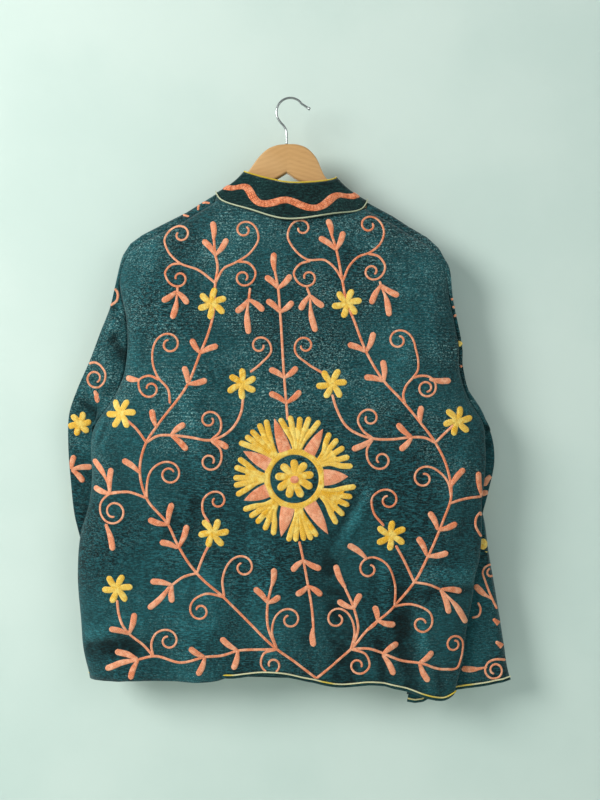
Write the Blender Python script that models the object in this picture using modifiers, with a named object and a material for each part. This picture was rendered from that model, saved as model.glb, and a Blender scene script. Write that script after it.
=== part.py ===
"""An embroidered jacket that hangs on a wooden hanger, seen from its back.

Sizes are millimetres and become metres in the meshes. X is right as the back is seen,
Y is from the back panel to the fronts, Z is up. The origin is the inner top of the hook.
"""

import math

import bmesh
import bpy
import numpy as np

MM = 0.001

# Cloth and trims
WALL = 1.6
SEAM_GAP = 0.8
ARM_HALF = 6.5
RIDGE_R = 9.0
SEAM_DROP = 14.0
BINDING_HALF = (1.6, 2.1)
PIPING_R = 1.1
TRIM_GAP = 0.45
WIRE_R = 1.7
HOOK_R = 20.5
UNDERARM_V = 0.4
TIP_V = 0.06

# Rows and columns of the panels
ARMHOLE_ROWS = 8
SIDE_ROWS = 12
SHOULDER_STEPS = np.array((0.0, 0.02, 0.09, 0.25, 0.5, 0.75, 1.0))
NECK_STEPS = 7
NECKLINE_STEPS = 4
STRIP_COLUMNS = (0.0, 0.25, 0.6, 0.9)
NECK_U = 0.55
SLEEVE_RINGS = 17
SLEEVE_LEDGE = 4.0


def table(names, *rows):
    """A dictionary of named columns."""
    return {name: np.array(values, float) for name, values in zip(names, zip(*rows))}


# Outline of the body. Going down, z falls.
LEFT_EDGE = table(
    ("z", "x"),
    (-230, -246), (-274, -254), (-332, -244), (-377, -243), (-422, -251), (-452, -266),
    (-489, -291), (-571, -297), (-601, -300), (-654, -314), (-706, -318), (-781, -313),
    (-826, -309), (-866, -299),
)
RIGHT_EDGE = table(
    ("z", "x"),
    (-245, 233), (-292, 236), (-331, 244), (-377, 252), (-407, 253), (-450, 266),
    (-487, 288), (-520, 291), (-566, 290), (-597, 286), (-654, 285), (-692, 281),
    (-715, 275), (-741, 272), (-795, 262), (-836, 257), (-888, 244),
)
OUTER_FOLD = table(
    ("z", "x"),
    (-487, 285), (-560, 285), (-600, 283), (-627, 291), (-676, 298), (-734, 308),
    (-777, 315), (-822, 322), (-859, 328), (-872, 332),
)
INNER_FOLD = table(
    ("z", "x"),
    (-487, 280), (-560, 266), (-650, 240), (-760, 208), (-850, 180), (-900, 168),
)
RIDGE = table(
    ("x", "z"),
    (-250, -234), (-246, -228), (-239, -217), (-221, -204), (-190, -188), (-156, -171),
    (-111, -143), (115, -155), (154, -176), (177, -191), (206, -208), (223, -224),
    (234, -244),
)
BACK_NECK = table(
    ("x", "z"),
    (-111, -157), (-84, -165), (-59, -175), (-7, -187), (33, -184), (74, -178),
    (115, -169),
)
FRONT_NECK = table(
    ("x", "z_left", "z_right"),
    (0, -152, -164), (11, -164, -176), (36, -192, -204), (72, -236, -244), (96, -268, -272),
)
BACK_HEM = table(
    ("x", "z"),
    (-299, -866), (-166, -864), (-132, -866), (-83, -860), (-23, -855), (28, -865),
    (77, -874), (119, -870), (171, -880), (208, -892), (225, -895), (244, -888),
)
FRONT_HEM = table(
    ("x", "z"),
    (-299, -866), (-150, -868), (30, -872), (150, -878), (262, -876), (332, -872),
)
STRIP_HEM = table(
    ("x", "z"),
    (168, -900), (195, -903), (215, -892), (251, -884), (283, -880), (332, -872),
)
# How far the cloth stands from the hanger's plane, and how the edges close.
BACK_BULGE = table(("z", "y"), (-150, 31), (-300, 35), (-450, 37), (-700, 37), (-900, 33))
EDGE_Y = table(
    ("z", "left", "right_back", "right_front"),
    (-230, 9, 9, 9), (-350, 7, 8, 7), (-489, 4, 9, 4), (-540, 0.8, 12, 4),
    (-900, 0.8, 14, 4),
)
FRONT_BULGE = 11.0
BACK_ROUND, BACK_TOP_ROUND = 70.0, 120.0
FRONT_ROUND, FRONT_TOP_ROUND = 60.0, 60.0
# The centre front leans with the body, and the fronts part a little towards the hem.
CENTRE_TOP, CENTRE_HEM = (-6.0, -270.0), (41.0, -872.0)
FRONT_PARTING = (6.0, 14.0)

# Soft folds of the back, from end to end, as wide and as deep as they look.
BACK_FOLDS = table(
    ("x0", "z0", "x1", "z1", "half_width", "depth"),
    (118, -574, 72, -655, 16, 3.0),
    (218, -716, 272, -716, 15, 3.5),
    (-290, -800, -232, -782, 14, 3.0),
    (-286, -822, -236, -816, 12, -3.5),
    (-40, -690, -22, -860, 22, 2.5),
    (60, -720, 84, -868, 24, -2.5),
    (-150, -700, -136, -864, 28, 2.5),
    (-205, -250, -160, -420, 26, 2.0),
    (190, -262, 158, -430, 26, 2.0),
    (168, -760, 186, -888, 18, -2.5),
)
FRONT_FOLDS = table(
    ("x0", "z0", "x1", "z1", "half_width", "depth"),
    (-190, -260, -120, -560, 26, 2.5),
    (-70, -330, -50, -860, 24, 2.0),
    (-220, -600, -200, -864, 26, 2.5),
    (180, -280, 120, -560, 26, 2.5),
    (95, -380, 110, -868, 24, 2.0),
    (215, -620, 230, -868, 24, 2.5),
)

# Sleeves: the ends of each ring's long axis, as they hang behind the body.
LEFT_SLEEVE = table(
    ("t", "out_x", "out_z", "out_y", "in_x", "in_z", "in_y", "half"),
    (0, -248, -232, 0, -292, -490, 0, 8),
    (1, -260, -277, 0, -297, -495, 4, 9),
    (2, -270, -313, 2, -296, -502, 12, 10),
    (3, -284, -347, 4, -284, -510, 21, 10),
    (4, -302, -393, 7, -258, -522, 29, 9),
    (5, -322, -436, 12, -220, -534, 32, 8),
    (6, -335, -474, 16, -184, -545, 33, 8),
    (7, -337, -519, 19, -167, -562, 34, 8),
    (8, -334, -572, 22, -162, -600, 34, 8),
    (9, -329, -625, 25, -158, -645, 34, 8),
    (10, -319, -670, 28, -156, -690, 35, 8),
    (11, -311, -720, 30, -154, -738, 35, 8),
    (12, -306, -765, 31, -152, -780, 35, 8),
)
RIGHT_SLEEVE = table(
    ("t", "out_x", "out_z", "out_y", "in_x", "in_z", "in_y", "half"),
    (0, 235, -250, 0, 290, -489, 0, 8),
    (1, 248, -290, 0, 299, -495, 4, 9),
    (2, 255, -322, 2, 299, -502, 12, 10),
    (3, 261, -362, 5, 288, -510, 22, 10),
    (4, 267, -407, 10, 262, -522, 31, 9),
    (5, 273, -447, 14, 225, -532, 33, 8),
    (6, 291, -477, 17, 192, -543, 34, 8),
    (7, 306, -505, 20, 172, -560, 34, 8),
    (8, 311, -545, 23, 164, -590, 34, 8),
    (9, 302, -593, 26, 158, -630, 35, 8),
    (10, 293, -632, 29, 154, -675, 35, 8),
    (11, 287, -690, 31, 150, -725, 35, 8),
    (12, 282, -755, 32, 148, -775, 35, 8),
)
# The deviation of the first rings from an even oval dies out over this many rows.
ARMHOLE_FADE = 2.6
# Above the underarm the right sleeve stands out this far at most beside the back.
SLEEVE_PROUD, SLEEVE_EASE = 6.0, 2.0
HELD_FROM, HELD_OVER = -490.0, 40.0

COLLAR = table(
    ("u", "seam_x", "seam_y", "seam_z", "edge_x", "edge_y", "edge_z"),
    (0.00, -11, 12, -268, -9, 17, -224),
    (0.09, -38, 13, -234, -24, 17, -198),
    (0.18, -75, 13, -188, -47, 15, -158),
    (0.255, -103, 11.5, -157, -65, 10.5, -126),
    (0.28, -110, 8.5, -146, -69, 7.5, -114),
    (0.30, -111, 0, -141, -70, 0, -109),
    (0.32, -110, -7.5, -145, -69, -7.5, -112),
    (0.345, -105, -11, -153, -64, -11, -118),
    (0.42, -59, -22, -171, -37, -16, -124),
    (0.50, -4, -28, -186, -2, -19, -130),
    (0.58, 62, -24, -178, 36, -16, -128),
    (0.655, 109, -11, -167, 65, -11, -126),
    (0.68, 115, -7.5, -158, 70, -7.5, -121),
    (0.70, 116, 0, -153, 71, 0, -118),
    (0.72, 115, 7.5, -158, 70, 7.5, -122),
    (0.745, 107, 11.5, -169, 66, 10.5, -134),
    (0.82, 75, 13, -199, 50, 15, -168),
    (0.91, 33, 13, -238, 24, 17, -201),
    (1.00, 1, 14, -269, 3, 17, -227),
)
COLLAR_COLUMNS = 34
COLLAR_ROWS = 4
COLLAR_CURL = 2.0

# Wooden arms: top and bottom of each section, from the joint outwards.
LEFT_ARM = table(
    ("x", "top", "bottom"),
    (-5.2, -68, -111), (-20, -70, -118), (-34, -76, -124), (-46, -87, -130),
    (-60, -106, -138), (-75, -124, -149), (-111, -149, -173), (-156, -175, -197),
    (-190, -192, -212), (-222, -210, -226),
)
RIGHT_ARM = table(
    ("x", "top", "bottom"),
    (-4.8, -68, -111), (12, -69, -120), (28, -76, -125), (41, -91, -131),
    (53, -112, -138), (75, -133, -153), (115, -160, -182), (154, -180, -202),
    (177, -195, -215), (206, -212, -231), (220, -226, -242),
)
ARM_CORNER = 4.5

# Side path of the wire below its round bend.
HOOK_STEM_X = -5.0
HOOK_NECK = ((-19.2, -26.5), (-14.6, -34.5), (-9.0, -41.0), (-5.6, -47.5))
HOOK_TIP = (30.0, -15.5)
HOOK_BREAK_DEG = 36.0


def smooth(xs, ys, x):
    """A cubic curve through the points of two columns, in either order of x."""
    if xs[0] > xs[-1]:
        xs, ys = xs[::-1], ys[::-1]
    x = np.clip(np.asarray(x, float), xs[0], xs[-1])
    slope = np.gradient(ys, xs)
    i = np.clip(np.searchsorted(xs, x) - 1, 0, len(xs) - 2)
    h = xs[i + 1] - xs[i]
    t = (x - xs[i]) / h
    a = (1 + 2 * t) * (1 - t) ** 2 * ys[i] + t * (1 - t) ** 2 * h * slope[i]
    b = t * t * (3 - 2 * t) * ys[i + 1] + t * t * (t - 1) * h * slope[i + 1]
    return a + b


def look_up(rows, key, name, x):
    return smooth(rows[key], rows[name], x)


def ridge(x):
    """Top line of the shoulders, straight across the neck."""
    return np.interp(x, RIDGE["x"], RIDGE["z"])


def rounded(t):
    """Rises from 0 to 1 as a quarter circle does."""
    t = np.clip(t, 0, 1)
    return np.sqrt(1 - (1 - t) ** 2)


def folds(rows, x, z):
    """Soft ridges, and troughs where the depth is negative, that fade at both ends."""
    total = np.zeros(np.shape(x))
    for x0, z0, x1, z1, half, depth in zip(*rows.values()):
        along = np.hypot(x1 - x0, z1 - z0)
        dx, dz = (x1 - x0) / along, (z1 - z0) / along
        a = ((x - x0) * dx + (z - z0) * dz) / along
        side = (x - x0) * dz - (z - z0) * dx
        past = np.maximum(np.maximum(-a, a - 1), 0) * along
        total += depth * np.exp(-(side / half) ** 2 - (past / (1.5 * half)) ** 2)
    return total


def back_y(x, z):
    """Outer face of the back panel."""
    left = look_up(LEFT_EDGE, "z", "x", z)
    right = look_up(RIGHT_EDGE, "z", "x", z)
    share = np.clip((x - left) / (right - left), 0, 1)
    edge = np.interp(z, EDGE_Y["z"][::-1], EDGE_Y["left"][::-1]) * (1 - share)
    edge = edge + np.interp(z, EDGE_Y["z"][::-1], EDGE_Y["right_back"][::-1]) * share
    bulge = look_up(BACK_BULGE, "z", "y", z)
    rise = rounded((x - left) / BACK_ROUND) * rounded((right - x) / BACK_ROUND)
    rise = rise * rounded((ridge(x) - SEAM_DROP - z) / BACK_TOP_ROUND)
    return -(edge + (bulge - edge + folds(BACK_FOLDS, x, z)) * rise)


def front_y(x, z, side):
    """Outer face of a front panel. The side is -1 on the left and 1 on the right."""
    if side < 0:
        gap = x - look_up(LEFT_EDGE, "z", "x", z)
        edge = np.interp(z, EDGE_Y["z"][::-1], EDGE_Y["left"][::-1])
    else:
        above = look_up(RIGHT_EDGE, "z", "x", z)
        below = look_up(OUTER_FOLD, "z", "x", z)
        gap = np.where(np.asarray(z) > OUTER_FOLD["z"][0], above, below) - x
        edge = np.interp(z, EDGE_Y["z"][::-1], EDGE_Y["right_front"][::-1])
    rise = rounded(gap / FRONT_ROUND) * rounded((ridge(x) - RIDGE_R - z) / FRONT_TOP_ROUND)
    return edge + (FRONT_BULGE - edge + folds(FRONT_FOLDS, x, z)) * rise


def coons(top, bottom, left, right, u, v):
    """A patch between four edge curves, each an array of points in (x, z)."""
    u, v = u[None, :, None], v[:, None, None]
    across = (1 - v) * top[None] + v * bottom[None]
    down = (1 - u) * left[:, None] + u * right[:, None]
    corners = (1 - u) * (1 - v) * top[0] + u * (1 - v) * top[-1]
    corners = corners + (1 - u) * v * bottom[0] + u * v * bottom[-1]
    return across + down - corners


def side_curve(edge, top, underarm_z, hem_z, v):
    """Points down one edge, which starts at the end of the shoulder. The underarm is at the
    same share of the way on each piece."""
    z = np.interp(v, (0, UNDERARM_V, 1), (top[1], underarm_z, hem_z))
    x = look_up(edge, "z", "x", z)
    start = top[0] - look_up(edge, "z", "x", top[1])
    return np.stack([x + start * np.clip(1 - v / TIP_V, 0, 1), z], -1)


def row_shares():
    armhole = np.linspace(0, UNDERARM_V, ARMHOLE_ROWS)
    side = np.linspace(UNDERARM_V, 1, SIDE_ROWS + 1)[1:]
    return np.concatenate([armhole, side])


def back_columns():
    """The shoulder columns of the back meet those of the fronts at the seam."""
    width = RIGHT_EDGE["x"][0] - LEFT_EDGE["x"][0]
    left = (BACK_NECK["x"][0] - LEFT_EDGE["x"][0]) / width
    right = (RIGHT_EDGE["x"][0] - BACK_NECK["x"][-1]) / width
    neck = np.linspace(left, 1 - right, NECK_STEPS + 1)[1:-1]
    return np.concatenate([left * SHOULDER_STEPS, neck, 1 - right * SHOULDER_STEPS[::-1]])


def front_columns():
    neckline = np.linspace(NECK_U, 1, NECKLINE_STEPS + 1)[1:]
    return np.concatenate([NECK_U * SHOULDER_STEPS, neckline])


def back_outline(u, v):
    """(x, z) of the back panel, from its left edge to its right one."""
    x_left, x_right = LEFT_EDGE["x"][0], RIGHT_EDGE["x"][0]
    x = x_left + (x_right - x_left) * u
    shoulder = ridge(x) - SEAM_DROP
    neck = look_up(BACK_NECK, "x", "z", x)
    inside = (x > BACK_NECK["x"][0]) & (x < BACK_NECK["x"][-1])
    top = np.stack([x, np.where(inside, neck, shoulder)], -1)
    x_hem = LEFT_EDGE["x"][-1] + (RIGHT_EDGE["x"][-1] - LEFT_EDGE["x"][-1]) * u
    hem = np.stack([x_hem, look_up(BACK_HEM, "x", "z", x_hem) + 2 * BINDING_HALF[1]], -1)
    left = side_curve(LEFT_EDGE, top[0], LEFT_EDGE["z"][6], hem[0, 1], v)
    right = side_curve(RIGHT_EDGE, top[-1], RIGHT_EDGE["z"][6], hem[-1, 1], v)
    return coons(top, hem, left, right, u, v)


def back_points(u, v):
    flat = back_outline(u, v)
    x, z = flat[..., 0], flat[..., 1]
    return np.stack([x, back_y(x, z), z], -1)


def back_return(v):
    """Below the underarm the right side turns in behind itself, down to the inner fold."""
    edge = back_points(np.array([1.0]), v)[:, 0]
    inner = np.minimum(look_up(INNER_FOLD, "z", "x", edge[:, 2]) + 3, edge[:, 0] - 3)
    drop = np.interp(edge[:, 0] - inner, (0, 75), (0, -6))
    columns = []
    for share, depth in ((0.0, 1.2), (0.02, 3.4), (0.3, 4.2), (1.0, 4.2)):
        x = edge[:, 0] - 0.2 * depth - (edge[:, 0] - inner) * share
        columns.append(np.stack([x, edge[:, 1] + depth, edge[:, 2] + drop * share], -1))
    return np.stack(columns, 1)


def front_outline(side, u, v):
    """(x, z) of a front, from its outer edge to the centre front."""
    x_top = LEFT_EDGE["x"][0] if side < 0 else RIGHT_EDGE["x"][0]
    x_neck = RIDGE["x"][6] if side < 0 else RIDGE["x"][7]
    x_centre = CENTRE_TOP[0] + side * FRONT_PARTING[0]
    x = np.interp(u, (0, NECK_U, 1), (x_top, x_neck, x_centre))
    neck_z = FRONT_NECK["z_left"] if side < 0 else FRONT_NECK["z_right"]
    reach = np.abs(x - x_neck) * FRONT_NECK["x"][-1] / abs(x_centre - x_neck)
    neck = smooth(FRONT_NECK["x"], neck_z, reach)
    top = np.stack([x, np.where(u < NECK_U, ridge(x) - RIDGE_R, neck)], -1)
    edge = LEFT_EDGE if side < 0 else RIGHT_EDGE
    below = LEFT_EDGE if side < 0 else OUTER_FOLD
    x_hem = np.interp(u, (0, 1), (below["x"][-1], CENTRE_HEM[0] + side * FRONT_PARTING[1]))
    hem = np.stack([x_hem, look_up(FRONT_HEM, "x", "z", x_hem) + 2 * BINDING_HALF[1]], -1)
    outer = side_curve(edge, top[0], edge["z"][6], hem[0, 1], v)
    lower = v > UNDERARM_V
    outer[lower, 0] = look_up(below, "z", "x", outer[lower, 1])
    centre = top[-1] + (hem[-1] - top[-1]) * v[:, None]
    return coons(top, hem, outer, centre, u, v)


def front_points(side, u, v):
    flat = front_outline(side, u, v)
    x, z = flat[..., 0], flat[..., 1]
    y = front_y(x, z, side)
    own_edge = np.where((u[None, :] == 0) & (v[:, None] > UNDERARM_V), SEAM_GAP / 2, 0)
    return np.stack([x, y + own_edge * (side < 0), z], -1)


def ridge_wrap(side, u):
    """The rows of a front that go over the hanger's arm to the shoulder seam behind it."""
    x = front_outline(side, u, np.array([0.0]))[0, :, 0]
    top = ridge(x)
    slant = RIDGE_R * math.sin(math.pi / 4)
    lift = RIDGE_R - slant
    rows = []
    for y, drop in (
        (-RIDGE_R, SEAM_DROP - SEAM_GAP), (-RIDGE_R, RIDGE_R), (-slant, lift),
        (0.0, 0.0), (slant, lift),
    ):
        rows.append(np.stack([x, np.full(len(x), y), top - drop], -1))
    return np.stack(rows)


def strip_points(v):
    """The right front's stretch from the inner fold out to the outer fold, seen below the arm."""
    edge = front_points(1, np.array([0.0]), v)[:, 0]
    z = edge[:, 2]
    inner = look_up(INNER_FOLD, "z", "x", z)
    inner = np.minimum(inner, edge[:, 0] - 6)
    columns = []
    start = back_return(v)[:, -1, 1] + 1.6
    for share in STRIP_COLUMNS:
        x = inner + (edge[:, 0] - inner) * share
        hem = look_up(STRIP_HEM, "x", "z", x) - look_up(FRONT_HEM, "x", "z", edge[:, 0])
        low = np.clip((v - UNDERARM_V) / (1 - UNDERARM_V), 0, 1) ** 3
        y = start * (1 - 0.5 * share) + np.where(share > 0.8, 2.0, 0.0)
        columns.append(np.stack([x, y, z + hem * low], -1))
    return np.stack(columns, 1)


def sleeve_angles():
    """Where each point of a ring lies round it: back rows down, front rows up, then the ridge."""
    down = np.linspace(0.32, math.pi - 0.16, ARMHOLE_ROWS)
    over = np.linspace(2 * math.pi - 0.26, 2 * math.pi + 0.26, 5)
    return np.concatenate([down, 2 * math.pi - down[::-1], over])


def armhole_ring(side):
    """The first ring of a sleeve, along the armhole edges of the back and the front."""
    v = np.linspace(0, UNDERARM_V, ARMHOLE_ROWS)
    outer = np.array([0.0])
    back_u = outer if side < 0 else np.array([1.0])
    back = back_points(back_u, v)[:, 0]
    front = front_points(side, outer, v)[::-1, 0]
    over = ridge_wrap(side, outer)[::-1, 0]
    ring = np.concatenate([back, front, over])
    ring[:, 0] += side * SEAM_GAP
    return ring


def sleeve_ring(rows, t, angles):
    """One flattened ring between the ends of its long axis."""
    out = np.array([look_up(rows, "t", "out_" + axis, t) for axis in "xyz"])
    inn = np.array([look_up(rows, "t", "in_" + axis, t) for axis in "xyz"])
    share = (1 - np.cos(angles)) / 2
    ring = out + (inn - out) * share[:, None]
    thick = look_up(rows, "t", "half", t)
    ring[:, 1] -= thick * np.sign(np.sin(angles)) * np.abs(np.sin(angles)) ** 0.7
    if rows is RIGHT_SLEEVE:
        hold_in(ring)
    return ring


def hold_in(ring):
    """The right sleeve's top follows the side of the back, which curves in above the underarm."""
    limit = look_up(RIGHT_EDGE, "z", "x", ring[:, 2]) + SLEEVE_PROUD
    over = np.log1p(np.exp((ring[:, 0] - limit) / SLEEVE_EASE)) * SLEEVE_EASE
    ring[:, 0] -= over * np.clip((ring[:, 2] - HELD_FROM) / HELD_OVER, 0, 1)


def sleeve_points(side, count):
    """Rings from the armhole to the cuff."""
    rows = LEFT_SLEEVE if side < 0 else RIGHT_SLEEVE
    angles = sleeve_angles()
    first = armhole_ring(side)
    shift = first - sleeve_ring(rows, 0.0, angles)
    ledge = first + np.array([side * SLEEVE_LEDGE, 0.0, 0.0])
    rings = [first, ledge]
    for t in np.linspace(0, rows["t"][-1], count)[1:]:
        fade = max(0.0, 1 - t / ARMHOLE_FADE) ** 2
        rings.append(sleeve_ring(rows, t, angles) + shift * fade)
    return np.stack(rings)


def collar_points(columns, rows):
    """From the left centre front round the back of the neck, seam first, then upwards."""
    u = np.linspace(0, 1, columns)
    seam = np.stack([look_up(COLLAR, "u", "seam_" + axis, u) for axis in "xyz"], -1)
    edge = np.stack([look_up(COLLAR, "u", "edge_" + axis, u) for axis in "xyz"], -1)
    outward = np.stack([np.zeros(columns), np.sign(seam[:, 1]), np.zeros(columns)], -1)
    outward[:, 1] *= np.minimum(np.abs(seam[:, 1]) / 11, 1)
    grid = []
    for share in np.linspace(0, 1, rows):
        curl = -COLLAR_CURL * math.sin(math.pi * share)
        grid.append(seam + (edge - seam) * share + outward * curl)
    return np.stack(grid)


def normals(grid, closed=False):
    """Normals of a grid of points by its two directions."""
    if closed:
        across = np.roll(grid, -1, 1) - np.roll(grid, 1, 1)
    else:
        across = np.gradient(grid, axis=1)
    normal = np.cross(np.gradient(grid, axis=0), across)
    return normal / np.maximum(np.linalg.norm(normal, axis=-1, keepdims=True), 1e-9)


def clear_scene():
    for item in list(bpy.data.objects):
        bpy.data.objects.remove(item)


def collection(name):
    group = bpy.data.collections.new(name)
    bpy.context.scene.collection.children.link(group)
    return group


def material(name, colour, roughness, metallic=0.0):
    made = bpy.data.materials.new(name)
    made.use_nodes = True
    shader = made.node_tree.nodes["Principled BSDF"]
    shader.inputs["Base Color"].default_value = (*colour, 1)
    shader.inputs["Roughness"].default_value = roughness
    shader.inputs["Metallic"].default_value = metallic
    return made


def add_object(name, mesh, group, finish):
    made = bpy.data.objects.new(name, mesh)
    group.objects.link(made)
    mesh.materials.append(finish)
    mesh.shade_smooth()
    return made


def sheet_mesh(name, grid, present=None, closed=False):
    """An open surface over the points of a grid that are present."""
    rows, columns = grid.shape[:2]
    shape = bmesh.new()
    verts = {}
    for r in range(rows):
        for c in range(columns):
            if present is None or present[r][c]:
                verts[r, c] = shape.verts.new(grid[r, c] * MM)
    for r in range(rows - 1):
        for c in range(columns if closed else columns - 1):
            d = (c + 1) % columns
            corners = [(r, c), (r, d), (r + 1, d), (r + 1, c)]
            if all(corner in verts for corner in corners):
                shape.faces.new([verts[corner] for corner in corners])
    mesh = bpy.data.meshes.new(name)
    shape.to_mesh(mesh)
    shape.free()
    return mesh


def add_wall(name, grid, group, finish, flip, present=None, closed=False):
    """A cloth wall: the sheet is its outer face, and its thickness goes inwards."""
    mesh = sheet_mesh(name, grid, present, closed)
    if flip:
        mesh.flip_normals()
    made = add_object(name, mesh, group, finish)
    wall = made.modifiers.new("Wall", "SOLIDIFY")
    wall.thickness = WALL * MM
    wall.offset = -1.0
    return made


def add_strip(name, path, out, down, half, sides, group, finish, closed=False):
    """A solid oval strip along a path, with its two half widths along out and down."""
    angles = np.arange(sides) * 2 * math.pi / sides + math.pi / sides
    ring = out[:, None] * (half[0] * np.cos(angles))[None, :, None]
    ring = path[:, None] + ring + down[:, None] * (half[1] * np.sin(angles))[None, :, None]
    shape = bmesh.new()
    verts = [[shape.verts.new(point * MM) for point in row] for row in ring]
    count = len(verts)
    for r in range(count if closed else count - 1):
        a, b = verts[r], verts[(r + 1) % count]
        for s in range(sides):
            n = (s + 1) % sides
            shape.faces.new([a[s], a[n], b[n], b[s]])
    if not closed:
        shape.faces.new(verts[0][::-1])
        shape.faces.new(verts[-1])
    bmesh.ops.recalc_face_normals(shape, faces=shape.faces)
    mesh = bpy.data.meshes.new(name)
    shape.to_mesh(mesh)
    shape.free()
    return add_object(name, mesh, group, finish)


def along(path, closed=False):
    if closed:
        step = np.roll(path, -1, 0) - np.roll(path, 1, 0)
    else:
        step = np.gradient(path, axis=0)
    return step / np.linalg.norm(step, axis=-1, keepdims=True)


def unit(vectors):
    return vectors / np.maximum(np.linalg.norm(vectors, axis=-1, keepdims=True), 1e-9)


def trim_edge(name, edge, inside, out, group, finishes, closed=False):
    """A binding that caps a cloth edge, and a piping that lies above it on the outer face.
    The row of points just inside the edge tells which way is off the cloth."""
    way = along(edge, closed)
    down = edge - inside
    down = unit(down - way * np.sum(down * way, -1, keepdims=True))
    out = unit(out - way * np.sum(out * way, -1, keepdims=True))
    middle = edge - out * WALL / 2
    drop = TRIM_GAP + BINDING_HALF[1]
    add_strip(name + "_binding", middle + down * drop, out, down, BINDING_HALF, 6, group,
              finishes["binding"], closed)
    lift = TRIM_GAP + PIPING_R
    add_strip(name + "_piping", edge + out * lift - down * PIPING_R * 0.9, out, down,
              (PIPING_R, PIPING_R), 5, group, finishes["piping"], closed)


def build_back(group, finishes):
    u, v = back_columns(), row_shares()
    grid = np.concatenate([back_points(u, v), back_return(v)], 1)
    present = np.ones(grid.shape[:2], bool)
    present[:ARMHOLE_ROWS, len(u):] = False
    add_wall("back_panel", grid, group, finishes["cloth"], True, present)
    main = grid[:, 1:len(u)]
    trim_edge("back_hem", main[-1], main[-2], normals(main)[-1], group, finishes)


def build_front(side, group, finishes):
    name = "front_left" if side < 0 else "front_right"
    u, v = front_columns(), row_shares()
    main = front_points(side, u, v)
    wrap = ridge_wrap(side, u)
    grid = np.concatenate([wrap, main], 0)
    present = np.ones(grid.shape[:2], bool)
    present[:len(wrap), u > NECK_U + 1e-6] = False
    if side > 0:
        strip = np.zeros((len(grid), len(STRIP_COLUMNS), 3))
        strip[len(wrap):] = strip_points(v)
        grid = np.concatenate([strip, grid], 1)
        shown = np.zeros(strip.shape[:2], bool)
        shown[len(wrap) + ARMHOLE_ROWS:] = True
        present = np.concatenate([shown, present], 1)
    add_wall(name, grid, group, finishes["cloth"], side > 0, present)
    cloth = main[:, 1:]
    out = side * normals(cloth)
    trim_edge(name + "_hem", cloth[-1, :-1], cloth[-2, :-1], out[-1, :-1], group, finishes)
    if side > 0:
        strip = strip_points(v)
        trim_edge(name + "_fold_hem", strip[-1], strip[-2], normals(strip)[-1], group, finishes)
    trim_edge(name + "_edge", cloth[:, -1], cloth[:, -2], out[:, -1], group, finishes)


def build_sleeve(side, group, finishes):
    name = "sleeve_left" if side < 0 else "sleeve_right"
    grid = sleeve_points(side, SLEEVE_RINGS)
    add_wall(name, grid, group, finishes["cloth"], side < 0, closed=True)
    out = normals(grid, True)[-1]
    if side > 0:
        out = -out
    trim_edge(name + "_cuff", grid[-1], grid[-2], out, group, finishes, closed=True)


def build_collar(group, finishes):
    grid = collar_points(COLLAR_COLUMNS, COLLAR_ROWS)
    add_wall("collar", grid, group, finishes["collar"], False)
    out = -normals(grid)
    top = grid[-1] - out[-1] * WALL / 2
    rise = unit(grid[-1] - grid[-2])
    add_strip("collar_edge_piping", top + rise * (PIPING_R + TRIM_GAP), out[-1], rise,
              (PIPING_R, PIPING_R), 5, group, finishes["piping_yellow"])
    seam = grid[0] + out[0] * (PIPING_R + TRIM_GAP) + rise * PIPING_R
    add_strip("collar_seam_piping", seam, out[0], rise, (PIPING_R, PIPING_R), 5, group,
              finishes["piping"])


def build_arm(name, rows, group, finish):
    """A wooden arm, lofted through rounded upright sections."""
    corner = ARM_CORNER
    shape = bmesh.new()
    sections = []
    for x, top, bottom in zip(rows["x"], rows["top"], rows["bottom"]):
        outline = []
        for cy, cz, start in (
            (ARM_HALF - corner, top - corner, 0), (corner - ARM_HALF, top - corner, 90),
            (corner - ARM_HALF, bottom + corner, 180), (ARM_HALF - corner, bottom + corner, 270),
        ):
            for turn in (0, 45, 90):
                angle = math.radians(start + turn)
                outline.append((x, cy + corner * math.cos(angle), cz + corner * math.sin(angle)))
        sections.append([shape.verts.new(np.array(p) * MM) for p in outline])
    for a, b in zip(sections, sections[1:]):
        for s in range(len(a)):
            n = (s + 1) % len(a)
            shape.faces.new([a[s], a[n], b[n], b[s]])
    shape.faces.new(sections[0][::-1])
    shape.faces.new(sections[-1])
    bmesh.ops.recalc_face_normals(shape, faces=shape.faces)
    mesh = bpy.data.meshes.new(name)
    shape.to_mesh(mesh)
    shape.free()
    made = add_object(name, mesh, group, finish)
    mesh.set_sharp_from_angle(angle=math.radians(50))
    return made


def hook_path():
    """Centre line of the wire, from the wood up, round the bend and down to its tip."""
    foot = LEFT_ARM["top"][0] + 0.35
    path = [(HOOK_STEM_X, foot), (HOOK_STEM_X, -60.0), (HOOK_STEM_X, -53.0)]
    path += list(HOOK_NECK[::-1])
    centre = (0.5, WIRE_R - HOOK_R)
    for degrees in np.arange(180, HOOK_BREAK_DEG - 1, -12):
        angle = math.radians(degrees)
        path.append((centre[0] + HOOK_R * math.cos(angle), centre[1] + HOOK_R * math.sin(angle)))
    last = path[-1]
    for share in (0.5, 1.0):
        path.append((last[0] + (HOOK_TIP[0] - last[0]) * share,
                     last[1] + (HOOK_TIP[1] - last[1]) * share))
    return path


def build_hook(group, finish):
    path = hook_path()
    curve = bpy.data.curves.new("hanger_hook", "CURVE")
    curve.dimensions = "3D"
    curve.bevel_depth = WIRE_R * MM
    curve.bevel_resolution = 2
    curve.use_fill_caps = True
    spline = curve.splines.new("POLY")
    spline.points.add(len(path) - 1)
    for point, (x, z) in zip(spline.points, path):
        point.co = (x * MM, 0.0, z * MM, 1.0)
    made = bpy.data.objects.new("hanger_hook", curve)
    group.objects.link(made)
    curve.materials.append(finish)


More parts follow.
